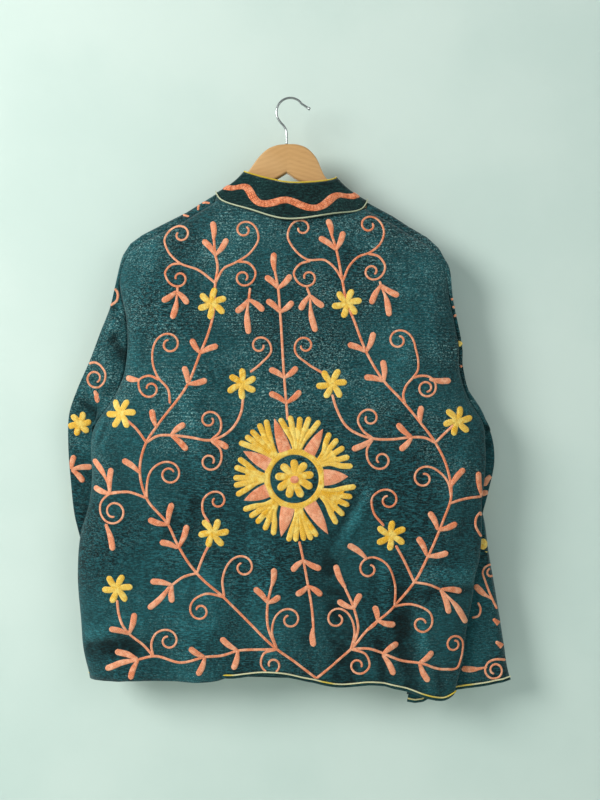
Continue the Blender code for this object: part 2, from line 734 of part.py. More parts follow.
def main():
    clear_scene()
    group = collection("embroidered_jacket")
    finishes = {
        "cloth": material("cloth", (0.012, 0.058, 0.062), 0.9),
        "collar": material("collar_cloth", (0.010, 0.036, 0.036), 0.9),
        "binding": material("binding", (0.012, 0.045, 0.048), 0.85),
        "piping": material("piping", (0.55, 0.58, 0.33), 0.6),
        "piping_yellow": material("piping_yellow", (0.62, 0.48, 0.06), 0.6),
        "wood": material("wood", (0.62, 0.42, 0.22), 0.45),
        "chrome": material("chrome", (0.72, 0.72, 0.72), 0.2, 1.0),
    }
    build_back(group, finishes)
    for side in (-1, 1):
        build_front(side, group, finishes)
        build_sleeve(side, group, finishes)
    build_collar(group, finishes)
    build_arm("hanger_arm_left", LEFT_ARM, group, finishes["wood"])
    build_arm("hanger_arm_right", RIGHT_ARM, group, finishes["wood"])
    build_hook(group, finishes["chrome"])


main()
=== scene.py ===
"""Looks of an embroidered jacket on a wooden hanger, seen from its back.

Sizes are millimetres in the part's own frame and become metres in the meshes. X is right as
the back is seen, Y is from the back panel to the fronts and the wall, Z is up.
"""

import math

import bpy
import numpy as np
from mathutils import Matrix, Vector
from mathutils.bvhtree import BVHTree

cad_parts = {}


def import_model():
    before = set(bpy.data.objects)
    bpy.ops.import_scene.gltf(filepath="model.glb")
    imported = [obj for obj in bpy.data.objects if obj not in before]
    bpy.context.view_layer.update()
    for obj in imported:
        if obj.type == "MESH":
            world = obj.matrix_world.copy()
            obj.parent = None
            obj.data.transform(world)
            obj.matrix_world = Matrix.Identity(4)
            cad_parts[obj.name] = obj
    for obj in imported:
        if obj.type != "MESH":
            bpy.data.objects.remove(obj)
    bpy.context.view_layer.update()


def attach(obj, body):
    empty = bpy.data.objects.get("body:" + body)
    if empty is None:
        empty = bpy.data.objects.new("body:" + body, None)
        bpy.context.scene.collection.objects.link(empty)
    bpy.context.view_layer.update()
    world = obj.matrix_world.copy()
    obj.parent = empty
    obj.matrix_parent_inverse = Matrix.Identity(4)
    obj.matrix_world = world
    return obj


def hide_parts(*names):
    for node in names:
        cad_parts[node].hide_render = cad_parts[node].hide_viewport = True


MM = 0.001

# Cloth and trims, as in the part's source
WALL = 1.6
SEAM_GAP = 0.8
CLOSED_SEAM = 0.12
ARM_HALF = 6.5
RIDGE_R = 9.0
SEAM_DROP = 14.0
BINDING_HALF = (1.6, 2.1)
PIPING_R = 1.1
TRIM_GAP = 0.45
WIRE_R = 1.7
HOOK_R = 20.5
UNDERARM_V = 0.4
TIP_V = 0.06

# Rows and columns of the fine sheets
ARMHOLE_ROWS = 56
SIDE_ROWS = 84
SHOULDER_STEPS = np.linspace(0, 1, 36) ** 1.35
NECK_STEPS = 44
NECKLINE_STEPS = 26
STRIP_COLUMNS = tuple(np.linspace(0, 0.92, 14))
NECK_U = 0.55
SLEEVE_RINGS = 112
SLEEVE_LEDGE, LEDGE_EASE = 4.0, 0.15
TOP_FLARE = 3.0
WRAP_DEGREES = tuple(range(180, 14, -15))


def table(names, *rows):
    """A dictionary of named columns."""
    return {name: np.array(values, float) for name, values in zip(names.split(), zip(*rows))}


# The back's turn-in at the neck, and its hem, whose trim is rolled under on the left
LIP_DEPTH, NECK_REACH = 2.6, 113.1
LIP_RISE = table("x z", (-111, 12), (-100, 9), (84, 6), (90, 3), (106, 3), (115, 6))
HEM_TUCK = (-84.0, 20.0)
TUCK_STEP = np.array([0.0, 3.6, 2.6])
HEM_ROLL = 4.2

# Below the underarm on the right: how the back turns in (share of the way and depth), how far its
# fold stays inside the edge, and how it drops as it widens; then the front's stretch behind it.
RETURN_STEPS = ((0.0, 1.2), (0.02, 3.4), (0.3, 4.2), (1.0, 4.2))
RETURN_INSET, RETURN_LEAN = 3, 0.2
RETURN_WIDTHS, RETURN_DROPS = (0, 75), (0, -6)
STRIP_INSET, STRIP_GAP, STRIP_EASE = 6, 1.6, 0.5
STRIP_ROLL_FROM, STRIP_ROLL = 0.8, 2.0

# Outline of the body. Going down, z falls.
LEFT_EDGE = table(
    "z x",
    (-230, -246), (-274, -254), (-332, -244), (-377, -243), (-422, -251), (-452, -266),
    (-489, -291), (-571, -297), (-601, -300), (-654, -314), (-706, -318), (-781, -313),
    (-826, -309), (-866, -299),
)
RIGHT_EDGE = table(
    "z x",
    (-245, 233), (-292, 236), (-331, 244), (-377, 252), (-407, 253), (-450, 266),
    (-487, 288), (-520, 291), (-566, 290), (-597, 286), (-654, 285), (-692, 281),
    (-715, 275), (-741, 272), (-795, 262), (-836, 257), (-888, 244),
)
OUTER_FOLD = table(
    "z x",
    (-487, 285), (-560, 285), (-600, 283), (-627, 291), (-676, 298), (-734, 308),
    (-777, 315), (-822, 322), (-859, 328), (-872, 332),
)
INNER_FOLD = table(
    "z x",
    (-487, 280), (-560, 266), (-650, 240), (-760, 208), (-850, 180), (-900, 168),
)
RIDGE = table(
    "x z",
    (-250, -234), (-246, -228), (-239, -217), (-221, -204), (-190, -188), (-156, -171),
    (-111, -143), (115, -155), (154, -176), (177, -191), (206, -208), (223, -224),
    (234, -244),
)
BACK_NECK = table(
    "x z",
    (-111, -157), (-84, -165), (-59, -175), (-7, -187), (33, -184), (74, -178),
    (115, -169),
)
FRONT_NECK = table(
    "x z_left z_right",
    (0, -152, -164), (11, -164, -176), (36, -192, -204), (72, -236, -244), (96, -268, -272),
)
BACK_HEM = table(
    "x z",
    (-299, -866), (-166, -864), (-132, -866), (-83, -860), (-23, -855), (28, -865),
    (77, -874), (119, -870), (171, -880), (208, -892), (225, -895), (244, -888),
)
FRONT_HEM = table(
    "x z",
    (-299, -866), (-150, -868), (30, -872), (150, -878), (262, -876), (332, -872),
)
STRIP_HEM = table(
    "x z",
    (168, -900), (195, -903), (215, -892), (251, -884), (283, -880), (332, -872),
)
# How far the cloth stands from the hanger's plane, and how the edges close.
BACK_BULGE = table("z y", (-150, 31), (-300, 35), (-450, 37), (-700, 37), (-900, 33))
EDGE_Y = table(
    "z left right_back right_front",
    (-230, 9, 9, 9), (-350, 7, 8, 7), (-489, 4, 9, 4), (-540, 0.8, 12, 4),
    (-900, 0.8, 14, 4),
)
FRONT_BULGE = 11.0
BACK_ROUND, BACK_TOP_ROUND = 70.0, 120.0
FRONT_ROUND, FRONT_TOP_ROUND = 60.0, 60.0
# The centre front leans with the body, and the fronts part a little towards the hem.
CENTRE_TOP, CENTRE_HEM = (-6.0, -270.0), (41.0, -872.0)
FRONT_PARTING = (6.0, 14.0)

# Soft folds of the back, from end to end, as wide and as deep as they look.
BACK_FOLDS = table(
    "x0 z0 x1 z1 half_width depth",
    (113, -590, 80, -656, 9, 3.2),
    (210, -714, 270, -712, 15, 3.4),
    (-288, -800, -236, -782, 12, 3.2),
    (-288, -826, -226, -816, 12, -4.5),
    (-40, -690, -22, -860, 18, 3.4),
    (64, -700, 84, -868, 18, -3.8),
    (-150, -700, -136, -864, 28, 2.5),
    (-205, -250, -160, -420, 26, 1.4),
    (190, -262, 158, -430, 26, 1.4),
    (158, -730, 176, -888, 15, -4.5),
)
FRONT_FOLDS = table(
    "x0 z0 x1 z1 half_width depth",
    (-190, -260, -120, -560, 26, 2.5),
    (-70, -330, -50, -860, 24, 2.0),
    (-220, -600, -200, -864, 26, 2.5),
    (180, -280, 120, -560, 26, 2.5),
    (95, -380, 110, -868, 24, 2.0),
    (215, -620, 230, -868, 24, 2.5),
)

# Sleeves: the ends of each ring's long axis, as they hang behind the body.
LEFT_SLEEVE = table(
    "t out_x out_z out_y in_x in_z in_y half",
    (0, -248, -232, 0, -292, -490, 0, 8),
    (1, -260, -277, 0, -297, -495, 4, 9),
    (2, -270, -313, 2, -296, -502, 12, 10),
    (3, -284, -347, 4, -284, -510, 21, 10),
    (4, -302, -393, 7, -258, -522, 29, 9),
    (5, -322, -436, 12, -220, -534, 32, 8),
    (6, -335, -474, 16, -184, -545, 33, 8),
    (7, -337, -519, 19, -167, -562, 34, 8),
    (8, -334, -572, 22, -162, -600, 34, 8),
    (9, -329, -625, 25, -158, -645, 34, 8),
    (10, -319, -670, 28, -156, -690, 35, 8),
    (11, -311, -720, 30, -154, -738, 35, 8),
    (12, -306, -765, 31, -152, -780, 35, 8),
)
RIGHT_SLEEVE = table(
    "t out_x out_z out_y in_x in_z in_y half",
    (0, 235, -250, 0, 290, -489, 0, 8),
    (1, 248, -290, 0, 299, -495, 4, 9),
    (2, 255, -322, 2, 299, -502, 12, 10),
    (3, 261, -362, 5, 288, -510, 22, 10),
    (4, 267, -407, 10, 262, -522, 31, 9),
    (5, 273, -447, 14, 225, -532, 33, 8),
    (6, 291, -477, 17, 192, -543, 34, 8),
    (7, 306, -505, 20, 172, -560, 34, 8),
    (8, 311, -545, 23, 164, -590, 34, 8),
    (9, 302, -593, 26, 158, -630, 35, 8),
    (10, 293, -632, 29, 154, -675, 35, 8),
    (11, 287, -690, 31, 150, -725, 35, 8),
    (12, 282, -755, 32, 148, -775, 35, 8),
)
# Where a ring's back rows start and end, and its rows over the ridge; and how square it is.
RING_TOP, RING_BOTTOM, RING_OVER, RING_SQUARE = 0.32, 0.16, 0.26, 0.7
# The deviation of the first rings from an even oval dies out over this many rows.
ARMHOLE_FADE = 2.6
# Above the underarm the right sleeve stands out this far at most beside the back.
SLEEVE_PROUD, SLEEVE_EASE = 6.0, 2.0
HELD_FROM, HELD_OVER = -490.0, 40.0

COLLAR = table(
    "u seam_x seam_y seam_z edge_x edge_y edge_z",
    (0.00, -11, 12, -268, -9, 17, -224),
    (0.09, -38, 13, -234, -24, 17, -198),
    (0.18, -75, 13, -188, -47, 15, -158),
    (0.255, -103, 11.5, -157, -65, 10.5, -126),
    (0.28, -110, 8.5, -146, -69, 7.5, -114),
    (0.30, -111, 0, -141, -70, 0, -109.5),
    (0.32, -110, -7.5, -145, -68, -7.5, -111.5),
    (0.345, -105, -11, -153, -63, -11, -114),
    (0.42, -59, -22, -171, -37, -16, -122.5),
    (0.50, -4, -28, -186, -2, -19, -130),
    (0.58, 62, -24, -178, 36, -16, -128.5),
    (0.655, 109, -11, -167, 64, -11, -123.5),
    (0.68, 115, -7.5, -158, 69, -7.5, -121),
    (0.70, 116, 0, -153, 71, 0, -118),
    (0.72, 115, 7.5, -158, 70, 7.5, -122),
    (0.745, 107, 11.5, -169, 66, 10.5, -134),
    (0.82, 75, 13, -199, 50, 15, -168),
    (0.91, 33, 13, -238, 24, 17, -201),
    (1.00, 1, 14, -269, 3, 17, -227),
)
COLLAR_COLUMNS = 230
COLLAR_ROWS = 13
COLLAR_CURL, COLLAR_PINCH = 2.0, 5.0
# It bows fully from this depth on, and is pinched in near its turns beyond this distance aside.
COLLAR_DEEP, PINCH_DEEP, PINCH_ASIDE = 11, 16, 90

# Wooden arms: top and bottom of each section, from the joint outwards.
LEFT_ARM = table(
    "x top bottom",
    (-4.95, -68, -112), (-20, -70, -121), (-34, -76, -128), (-46, -87, -132),
    (-60, -106, -138), (-75, -124, -149), (-111, -149, -173), (-156, -175, -197),
    (-190, -192, -212), (-222, -210, -226),
)
RIGHT_ARM = table(
    "x top bottom",
    (-4.9, -68, -112), (12, -69, -123), (28, -76, -129), (41, -91.5, -133),
    (50, -112, -138), (75, -133, -153), (115, -160, -182), (154, -180, -202),
    (177, -195, -215), (206, -212, -231), (220, -226, -242),
)
ARM_CORNER = 4.5

# Side path of the wire below its round bend, from just above the wood.
HOOK_STEM_X, HOOK_STEM_Z, HOOK_FOOT_GAP = -5.0, (-60.0, -53.0), 0.35
HOOK_CENTRE_X = 0.5
HOOK_NECK = ((-19.2, -26.5), (-14.6, -34.5), (-9.0, -41.0), (-5.6, -47.5))
HOOK_TIP = (30.0, -15.5)
HOOK_BREAK_DEG = 36.0

# Creases finer than the solids show, given one by one: ridges, and troughs where depth is negative.
# The cloth is also painted paler on these creases' ridges and with shade in their troughs.
BACK_CREASES = table(
    "x0 z0 x1 z1 half_width depth",
    (113, -596, 86, -650, 4, 2.4), (100, -590, 64, -654, 8, -2.4),
    (122, -688, 126, -764, 6, -2.6), (142, -694, 148, -756, 11, 2.6),
    (196, -760, 200, -816, 10, 2.6), (132, -806, 140, -868, 8, -3.0),
    (206, -792, 222, -884, 8, -2.6), (-142, -470, -122, -590, 10, 2.2),
    (-139, -600, -142, -770, 7, -2.2), (-112, -640, -118, -780, 10, 1.8),
    (30, -690, 24, -800, 9, -1.8), (-60, -660, -52, -760, 9, 1.6),
    (196, -710, 266, -702, 9, 2.2), (206, -734, 262, -730, 8, -3.2),
    (-290, -788, -240, -776, 7, 2.0), (-292, -812, -240, -804, 7, -3.2),
    (-262, -836, -250, -864, 8, 2.2),
    (-20, -664, -28, -740, 7, 0.9), (54, -668, 64, -770, 8, -0.9),
    (-92, -640, -84, -742, 8, 0.8), (-178, -560, -170, -650, 9, -0.9),
    (-192, -640, -182, -760, 10, 0.9), (-134, -760, -128, -858, 8, -0.8),
    (128, -700, 140, -800, 9, 0.9), (30, -800, 36, -862, 6, -0.9),
    (-200, -290, -214, -380, 9, -1.0), (-226, -300, -232, -400, 8, 1.2),
    (204, -300, 214, -400, 9, 1.2), (186, -318, 190, -410, 8, -0.9),
    (-244, -480, -210, -560, 10, 1.0), (-262, -520, -238, -600, 9, -1.1),
    (258, -520, 236, -600, 9, 1.0), (268, -560, 250, -660, 8, -1.0),
    (-60, -200, -120, -232, 8, 0.9), (70, -200, 128, -226, 8, 0.9),
    (-150, -220, -196, -262, 9, -0.8), (150, -220, 190, -262, 9, -0.8),
    (206, -770, 214, -880, 7, 1.0), (-210, -720, -226, -850, 10, 0.9),
    (-288, -512, -277, -484, 4, 1.8), (-282, -514, -271, -488, 4, -1.6),
    (-277, -520, -263, -494, 4, 1.6), (120, -578, 82, -654, 3, 0.8),
)
FRONT_CREASES = table(
    "x0 z0 x1 z1 half_width depth",
    (-150, -300, -96, -470, 9, 1.1), (-100, -330, -70, -450, 8, -0.9),
    (-240, -420, -180, -560, 10, 1.0), (-60, -520, -48, -700, 9, 0.9),
    (-130, -600, -118, -840, 10, -1.0), (-250, -640, -240, -850, 10, 1.0),
    (-30, -640, -20, -840, 7, -0.8), (-176, -680, -160, -860, 9, 0.9),
    (150, -310, 104, -470, 9, 1.1), (106, -340, 92, -460, 8, -0.9),
    (238, -420, 186, -560, 10, 1.0), (76, -520, 84, -700, 9, 0.9),
    (150, -600, 156, -840, 10, -1.0), (262, -640, 280, -850, 10, 1.0),
    (62, -640, 66, -840, 7, -0.8), (200, -680, 214, -860, 9, 0.9),
)
SLEEVE_CREASES = table(
    "x0 z0 x1 z1 half_width depth",
    (-244, -308, -272, -352, 8, 3.4), (-266, -360, -246, -386, 10, -4.0),
    (-296, -440, -250, -484, 9, 3.0), (-306, -458, -262, -506, 7, -2.8),
    (-318, -520, -268, -548, 9, 1.6), (-322, -560, -282, -574, 8, -1.4),
    (-200, -560, -190, -690, 10, 1.2), (-232, -590, -222, -740, 9, -1.1),
    (-290, -600, -276, -740, 10, 1.3), (-256, -640, -250, -760, 8, 1.0),
    (-310, -610, -296, -720, 8, -1.1), (-176, -620, -172, -760, 8, -1.0),
    (248, -330, 262, -372, 8, 2.0), (256, -420, 250, -470, 9, -1.8),
    (290, -486, 244, -512, 9, 1.8), (296, -520, 250, -540, 8, -1.6),
    (190, -560, 186, -690, 10, 1.2), (222, -580, 214, -730, 9, -1.1),
    (268, -590, 256, -730, 10, 1.3), (240, -640, 234, -750, 8, 1.0),
    (288, -600, 276, -700, 8, -1.1), (166, -620, 162, -750, 8, -1.0),
)
# Slight unevenness of handloom cloth: wave lengths across and down, a turn, and a height.
UNEVEN = table(
    "across down turn height",
    (61, 47, 0.3, 0.22), (37, 83, 1.7, 0.2), (23, 31, 4.1, 0.12), (97, 113, 2.2, 0.3),
    (17, 53, 5.2, 0.1), (143, 29, 0.9, 0.14),
)

# The design, laid out on the back: stems, scrolls, leaves and small flowers.
STEMS = (
    ((-22, -261), (-17, -288), (-14, -323), (-8, -419), (-5, -456), (-3, -481)),
    ((14, -658), (20, -686), (27, -724), (33, -762), (35, -791)),
    ((39, -860), (11, -838), (-19, -816), (-68, -769), (-97, -740), (-136, -705), (-165, -661),
    (-178, -634), (-209, -596), (-219, -560), (-210, -514), (-193, -488), (-149, -428),
    (-131, -383), (-120, -356), (-112, -326), (-109, -280), (-106, -254), (-109, -239),
    (-112, -212)),
    ((39, -860), (66, -838), (90, -817), (113, -789), (151, -756), (182, -718), (201, -683),
    (224, -629), (236, -593), (230, -550), (213, -514), (189, -482), (164, -452), (138, -424),
    (112, -381), (93, -332), (84, -310), (77, -276), (68, -229), (60, -203)),
    ((-210, -514), (-193, -504), (-174, -503), (-146, -506), (-114, -510), (-86, -495),
    (-71, -469), (-68, -446)),
    ((213, -514), (198, -507), (179, -506), (151, -509), (122, -508), (84, -491), (68, -463),
    (62, -443)),
    ((-210, -513), (-226, -492), (-241, -479)),
    ((213, -514), (229, -498), (240, -488)),
    ((-136, -705), (-124, -675), (-115, -658)),
    ((182, -718), (167, -686), (155, -664)),
    ((-136, -705), (-155, -710), (-172, -722)),
    ((182, -718), (202, -721), (221, -729)),
    ((-19, -816), (-32, -782), (-32, -748), (-26, -721)),
    ((90, -817), (100, -788), (94, -757), (81, -727)),
    ((-19, -816), (-46, -817), (-76, -819), (-99, -826), (-124, -828), (-159, -836), (-200, -827),
    (-222, -832)),
    ((90, -817), (116, -816), (141, -825), (167, -835), (195, -838), (220, -847), (236, -848)),
    ((-200, -827), (-216, -810), (-235, -794), (-250, -766), (-253, -744)),
    ((-209, -595), (-238, -586), (-264, -589)),
    ((233, -603), (250, -598), (264, -595.5), (284, -594)),
    ((129, -775), (123, -782), (113, -789)),
    ((-164, -285), (-165, -294)), ((-58, -287), (-60, -305)), ((25, -286), (30, -299)),
    ((132, -277), (134, -285)),
    ((282, -617), (275, -625), (274, -637), (279, -647), (284, -654)),
    ((282, -617), (284.5, -630), (283.5, -648)),
)
CURLS = (
    (((-109, -280), (-134, -261), (-162, -250), (-180, -231), (-185, -212)), (-161, -207),
    14.6, -1.15),
    (((-159, -251), (-174, -253), (-183, -266)), (-162, -273), 13.2, 1.10),
    (((-109, -280), (-96, -258), (-80, -250), (-57, -234), (-46, -212)), (-67, -201), 13.9, 1.25),
    (((-77, -248), (-60, -251), (-50, -266)), (-68, -272), 13.2, -1.20),
    (((78, -277), (66, -258), (53, -247), (25, -245), (6, -229), (-3, -210)), (18, -198),
    13.9, -1.10),
    (((31, -247), (14, -253), (6, -267)), (27, -272), 13.9, 1.10),
    (((78, -277), (88, -254), (101, -241), (117, -235), (134, -220), (139, -201)), (117, -193),
    14.6, 1.15),
    (((114, -236), (131, -241), (140, -258)), (121, -263), 13.2, -1.20),
    (((-175, -457), (-178, -436), (-193, -418), (-201, -396), (-200, -374)), (-176, -370),
    16.6, -1.25),
    (((-191, -422), (-207, -416), (-222, -424)), (-204, -435), 13.9, 1.10),
    (((169, -457), (166, -446), (170, -431), (180, -419), (187, -409), (188, -393), (184, -375)),
    (159, -364), 15.6, 1.30),
    (((180, -419), (193, -416), (207, -419), (214, -430)), (200, -434), 13.9, -1.30),
    (((-115, -510), (-102, -497), (-102, -479)), (-118, -481), 13.2, 1.10),
    (((-115, -511), (-101, -525), (-101, -542)), (-117, -541), 13.9, -1.10),
    (((122, -508), (106, -495), (100, -479)), (117, -478), 13.9, -1.10),
    (((122, -508), (113, -525), (117, -544)), (134, -539), 13.9, 1.10),
    (((-58, -411), (-41, -397), (-27, -378)), (-44, -372), 13.9, 1.10),
    (((50, -413), (27, -399), (8, -380)), (22, -372), 13.9, -1.10),
    (((-209, -596), (-209, -577), (-202, -554)), (-176, -560), 17.8, -1.40),
    (((236, -593), (232, -573), (215, -554)), (196, -566), 16.1, 1.20),
    (((-238, -586), (-264, -589), (-279, -606)), (-258, -615), 19.6, 1.35),
    (((-118, -631), (-127, -615), (-125, -595)), (-106, -599), 13.9, -1.10),
    (((138, -636), (122, -614), (122, -592)), (144, -598), 15.4, -1.20),
    (((-96, -740), (-98, -712), (-89, -690)), (-68, -696), 16.8, -1.15),
    (((-96, -740), (-123, -735), (-143, -748)), (-131, -760), 14.6, 1.10),
    (((154, -754), (154, -721), (139, -689)), (116, -699), 16.1, 1.15),
    (((154, -754), (180, -751), (207, -766)), (193, -779), 14.6, -1.10),
    (((-19, -816), (-26, -789), (-19, -766)), (0, -773), 16.1, -1.15),
    (((90, -817), (95, -791), (88, -768)), (69, -773), 16.1, 1.15),
    (((-19, -816), (-38, -823), (-41, -842)), (-25, -839), 13.2, 1.05),
    (((90, -817), (112, -825), (116, -844)), (100, -841), 13.2, -1.05),
    (((-200, -827), (-203, -810), (-194, -792)), (-178, -804), 15.4, -1.15),
    (((232, -848.5), (247, -847), (253, -834), (256, -815)), (242, -811), 13.6, 1.30),
)
# Leaves, by their base and then each tip
LEAVES = (
    ((-17, -288), (-36, -270), (2, -268)), ((-14, -323), (-34, -305), (5, -307)),
    ((-8, -419), (-30, -406), (11, -403)), ((-5, -456), (-30, -441), (16, -438)),
    ((-22, -263), (-23, -235)), ((20, -686), (3, -702), (46, -699)),
    ((27, -724), (9, -737), (47, -738)), ((34, -785), (35, -813)),
    ((-109, -239), (-128, -216), (-92, -214)), ((-112, -216), (-114, -188)),
    ((-166, -292), (-187, -307), (-149, -311)), ((-60, -304), (-79, -323), (-38, -321)),
    ((68, -231), (43, -212), (79, -203)), ((62, -209), (56, -184)),
    ((30, -298), (15, -320), (50, -315)), ((134, -283), (119, -311), (160, -299)),
    ((-131, -383), (-144, -362), (-105, -372)), ((-149, -428), (-155, -402), (-121, -422)),
    ((-178, -634), (-172, -602), (-207, -626)), ((-163, -668), (-150, -634), (-190, -659)),
    ((112, -381), (85, -370), (123, -352)), ((138, -424), (109, -418), (136, -393)),
    ((217, -642), (204, -615), (245, -632)), ((201, -680), (187, -652), (232, -675)),
    ((129, -775), (124, -753), (155, -781)), ((-221, -422), (-242, -418)),
    ((204, -421), (237, -423)), ((-174, -503), (-153, -486), (-150, -525)),
    ((-114, -510), (-90, -522)), ((179, -506), (157, -486), (161, -525)), ((122, -508), (91, -524)),
    ((-195, -491), (-202, -465)), ((-219, -558), (-245, -539)), ((191, -485), (193, -460)),
    ((234, -580), (256, -552)), ((-264, -589), (-262, -551), (-290, -580)),
    ((-270, -633), (-259, -672)), ((284, -593), (278, -557)),
    ((-172, -722), (-204, -717), (-172, -748)), ((-175, -724), (-207, -757)),
    ((221, -729), (253, -733), (234, -765)), ((-32, -748), (-52, -726), (-14, -738)),
    ((-26, -724), (-23, -697)), ((94, -757), (70, -746), (104, -735)), ((82, -728), (67, -693)),
    ((-76, -819), (-101, -800), (-83, -847)), ((-124, -828), (-147, -814), (-135, -855)),
    ((-222, -832), (-257, -821), (-271, -847), (-234, -861)),
    ((-235, -794), (-227, -763), (-264, -786)), ((136, -825), (159, -808), (153, -855)),
    ((190, -837), (210, -820), (204, -865)), ((113, -684), (85, -663)),
)
BUDS = table(
    "x0 z0 x1 z1",
    (-165, -292, -172, -333), (-60, -303, -60, -355), (30, -298, 38, -352), (134, -284, 146, -329),
    (-265, -578, -291, -539), (222, -730, 261, -781),
)
FLOWERS = table(
    "x z reach petals turn",
    (-114, -310, 23, 6, 20), (84, -310, 22, 6, 10), (-70, -428, 23, 6, 30),
    (62, -428, 23, 6, 5), (-248, -471, 23, 6, 0), (246, -482, 23, 6, 15),
    (-112, -646, 23, 6, 10), (148, -650, 23, 6, 25), (-253, -728, 23, 6, 5),
)

# Sleeve designs: of each back face as it hangs, and of the left sleeve's other face.
SLEEVE_STEMS = {
    "left": (
        ((-263, -283), (-257, -292), (-258, -302), (-270, -312)),
        ((-292, -690), (-290, -720), (-284, -750)),
    ),
    "right": (
        ((240, -302), (252, -297)),
        ((242, -312), (251, -316), (250, -323), (244, -327)),
        ((261, -395), (253, -405), (252, -419), (259, -435), (268, -452)),
        ((280, -640), (274, -700), (266, -745)),
    ),
    "front": (
        ((-268, -300), (-276, -350), (-282, -410), (-276, -470), (-258, -530), (-246, -600),
         (-238, -680), (-230, -768)),
        ((-256, -536), (-226, -548), (-204, -560)),
        ((-246, -606), (-276, -622), (-300, -620)),
        ((-238, -680), (-208, -690), (-188, -706)),
        ((-282, -410), (-304, -424), (-312, -446)),
    ),
}
SLEEVE_CURLS = {
    "left": (
        (((-310, -404), (-302, -397), (-294, -395), (-282, -402), (-276, -412)), (-293, -419), 16.0,
         -1.25),
        (((-293, -676), (-312, -684), (-318, -700)), (-304, -706), 12.0, 1.1),
    ),
    "right": (
        (((276, -660), (290, -668), (292, -684)), (280, -688), 11.0, -1.1),
    ),
    "front": (
        (((-276, -350), (-256, -344), (-246, -328)), (-260, -318), 12.0, 1.1),
        (((-282, -412), (-262, -408), (-252, -394)), (-266, -384), 12.0, 1.1),
        (((-270, -496), (-290, -504), (-300, -522)), (-284, -532), 13.0, 1.15),
        (((-252, -562), (-270, -574), (-286, -574)), (-290, -590), 11.0, 1.1),
        (((-243, -630), (-222, -626), (-206, -636)), (-212, -652), 12.5, -1.15),
        (((-240, -660), (-262, -664), (-276, -678)), (-262, -690), 13.0, 1.15),
        (((-234, -722), (-212, -724), (-198, -738)), (-212, -750), 12.0, -1.1),
        (((-235, -716), (-258, -722), (-272, -738)), (-258, -750), 12.5, 1.15),
    ),
}
SLEEVE_LEAVES = {
    "left": (
        ((-294, -437), (-289, -456)), ((-332, -557), (-327, -535), (-300, -553), (-313, -576)),
        ((-288, -722), (-306, -708)), ((-286, -730), (-270, -712)),
    ),
    "right": (
        ((289, -473), (296, -492)), ((308, -564), (294, -582)), ((304, -592), (290, -595)),
        ((270, -722), (286, -712)),
    ),
    "front": (
        ((-270, -322), (-286, -300)), ((-280, -384), (-300, -372)), ((-280, -440), (-260, -430)),
        ((-256, -538), (-270, -556)), ((-248, -584), (-230, -570), (-266, -566)),
        ((-242, -644), (-258, -628)), ((-236, -700), (-218, -688), (-252, -686)),
        ((-230, -760), (-214, -774), (-246, -774)), ((-226, -548), (-214, -530), (-222, -570)),
    ),
}
SLEEVE_FLOWERS = {
    "left": ((-318, -488, 19), (-288, -768, 18)),
    "right": ((257, -366, 8), (268, -758, 17)),
    "front": ((-312, -460, 20), (-192, -562, 21), (-310, -618, 20), (-182, -716, 21)),
}
MIRROR_SHIFT = 13
# What shows of the left front's design on the shoulder, and of the right front's on its fold.
SHOULDER_STEMS = (
    ((-137, -169), (-136, -161), (-129, -157), (-119, -158)), ((-160, -175), (-150, -178)),
)
STRIP_STEMS = (((281, -754), (285, -764), (282, -774), (272, -777)),)
STRIP_CURLS = (
    (((311, -765), (301, -745), (293, -724), (289, -707)), (301, -709), 11.0, -1.2),
    (((324, -842), (308, -840), (295, -846), (292, -857)), (307, -856), 14.0, 1.2),
)
STRIP_LEAVES = (((304, -779), (323, -800)), ((308, -813), (328, -833)))
STRIP_BUDS = (((305, -751), (276, -728)), ((295, -851), (256, -853)))
STRIP_FLOWER = (296, -668, 12, 6, 20)

# Stitching is cast onto the cloth from this far off, and ends where the cloth steps back.
CAST_FROM, CAST_STEP = 400.0, 9
# Sections of a stroke: how far to either side, and how high
SECTIONS = {
    "thin": ((-1, -0.35), (-0.65, 0.75), (0, 1), (0.65, 0.75), (1, -0.35)),
    "wide": ((-1, -0.35), (-0.8, 0.62), (-0.4, 0.92), (0, 1), (0.4, 0.92), (0.8, 0.62), (1, -0.35)),
}
CHAIN_ROW, CHAIN_LENGTH = 2.1, 2.6
# The cloth's soft rows, in metres, and the crease depth at which its painted shade and highlight
# are full
WEFT_PITCH, CREASE_SHADE_FULL = 0.0052, 4.2

# Motifs
STEM_HALF, CURL_HALF = 2.1, 1.75
STEM_RISE, LEAF_RISE, YELLOW_RISE = 1.0, 1.4, 1.5
STEM_STEP, LEAF_STEP = 1.1, 1.1
LEAF_HALF, PETAL_HALF = 4.8, 5.1
LEAF_WIDTHS = (0.5, 0.66, 0.88, 1.0, 1.0, 0.96)
BUD_WIDTHS = (0.36, 0.36, 0.5, 0.85, 1.05, 1.0, 0.9)
LEAF_BEND = 0.05
# A curl's points, how far it closes in, and how soon it leaves its approach
CURL_POINTS, CURL_CLOSING, CURL_EASE = 26, 0.62, 1.3
# A petal's widths, how far it may turn in degrees, and its least length and what may add to it
PETAL_WIDTHS, PETAL_TURN, PETAL_LENGTH = (0.7, 0.8, 1, 1, 0.9), 7, (0.94, 0.1)
ROSETTE = (7.0, -567.0)
# Its ring; its inner petals' number, first direction, ends, half width and widths; and its
# middle's half length, half width and extra height
RING_RADIUS, RING_HALF, RING_POINTS = 40.0, 4.9, 190
HEART_PETALS, HEART_TURN, HEART_ENDS, HEART_HALF = 9, 93, (2, 28.8), 6.1
HEART_WIDTHS = (0.9, 0.8, 0.95, 1, 0.95)
MIDDLE_REACH, MIDDLE_HALF, MIDDLE_RISE = 6.5, 7.0, 0.9
# On a front: its distance from the middle, a shift, its height and its scale
FRONT_ROSETTE = (84, 8, -585, 0.52)
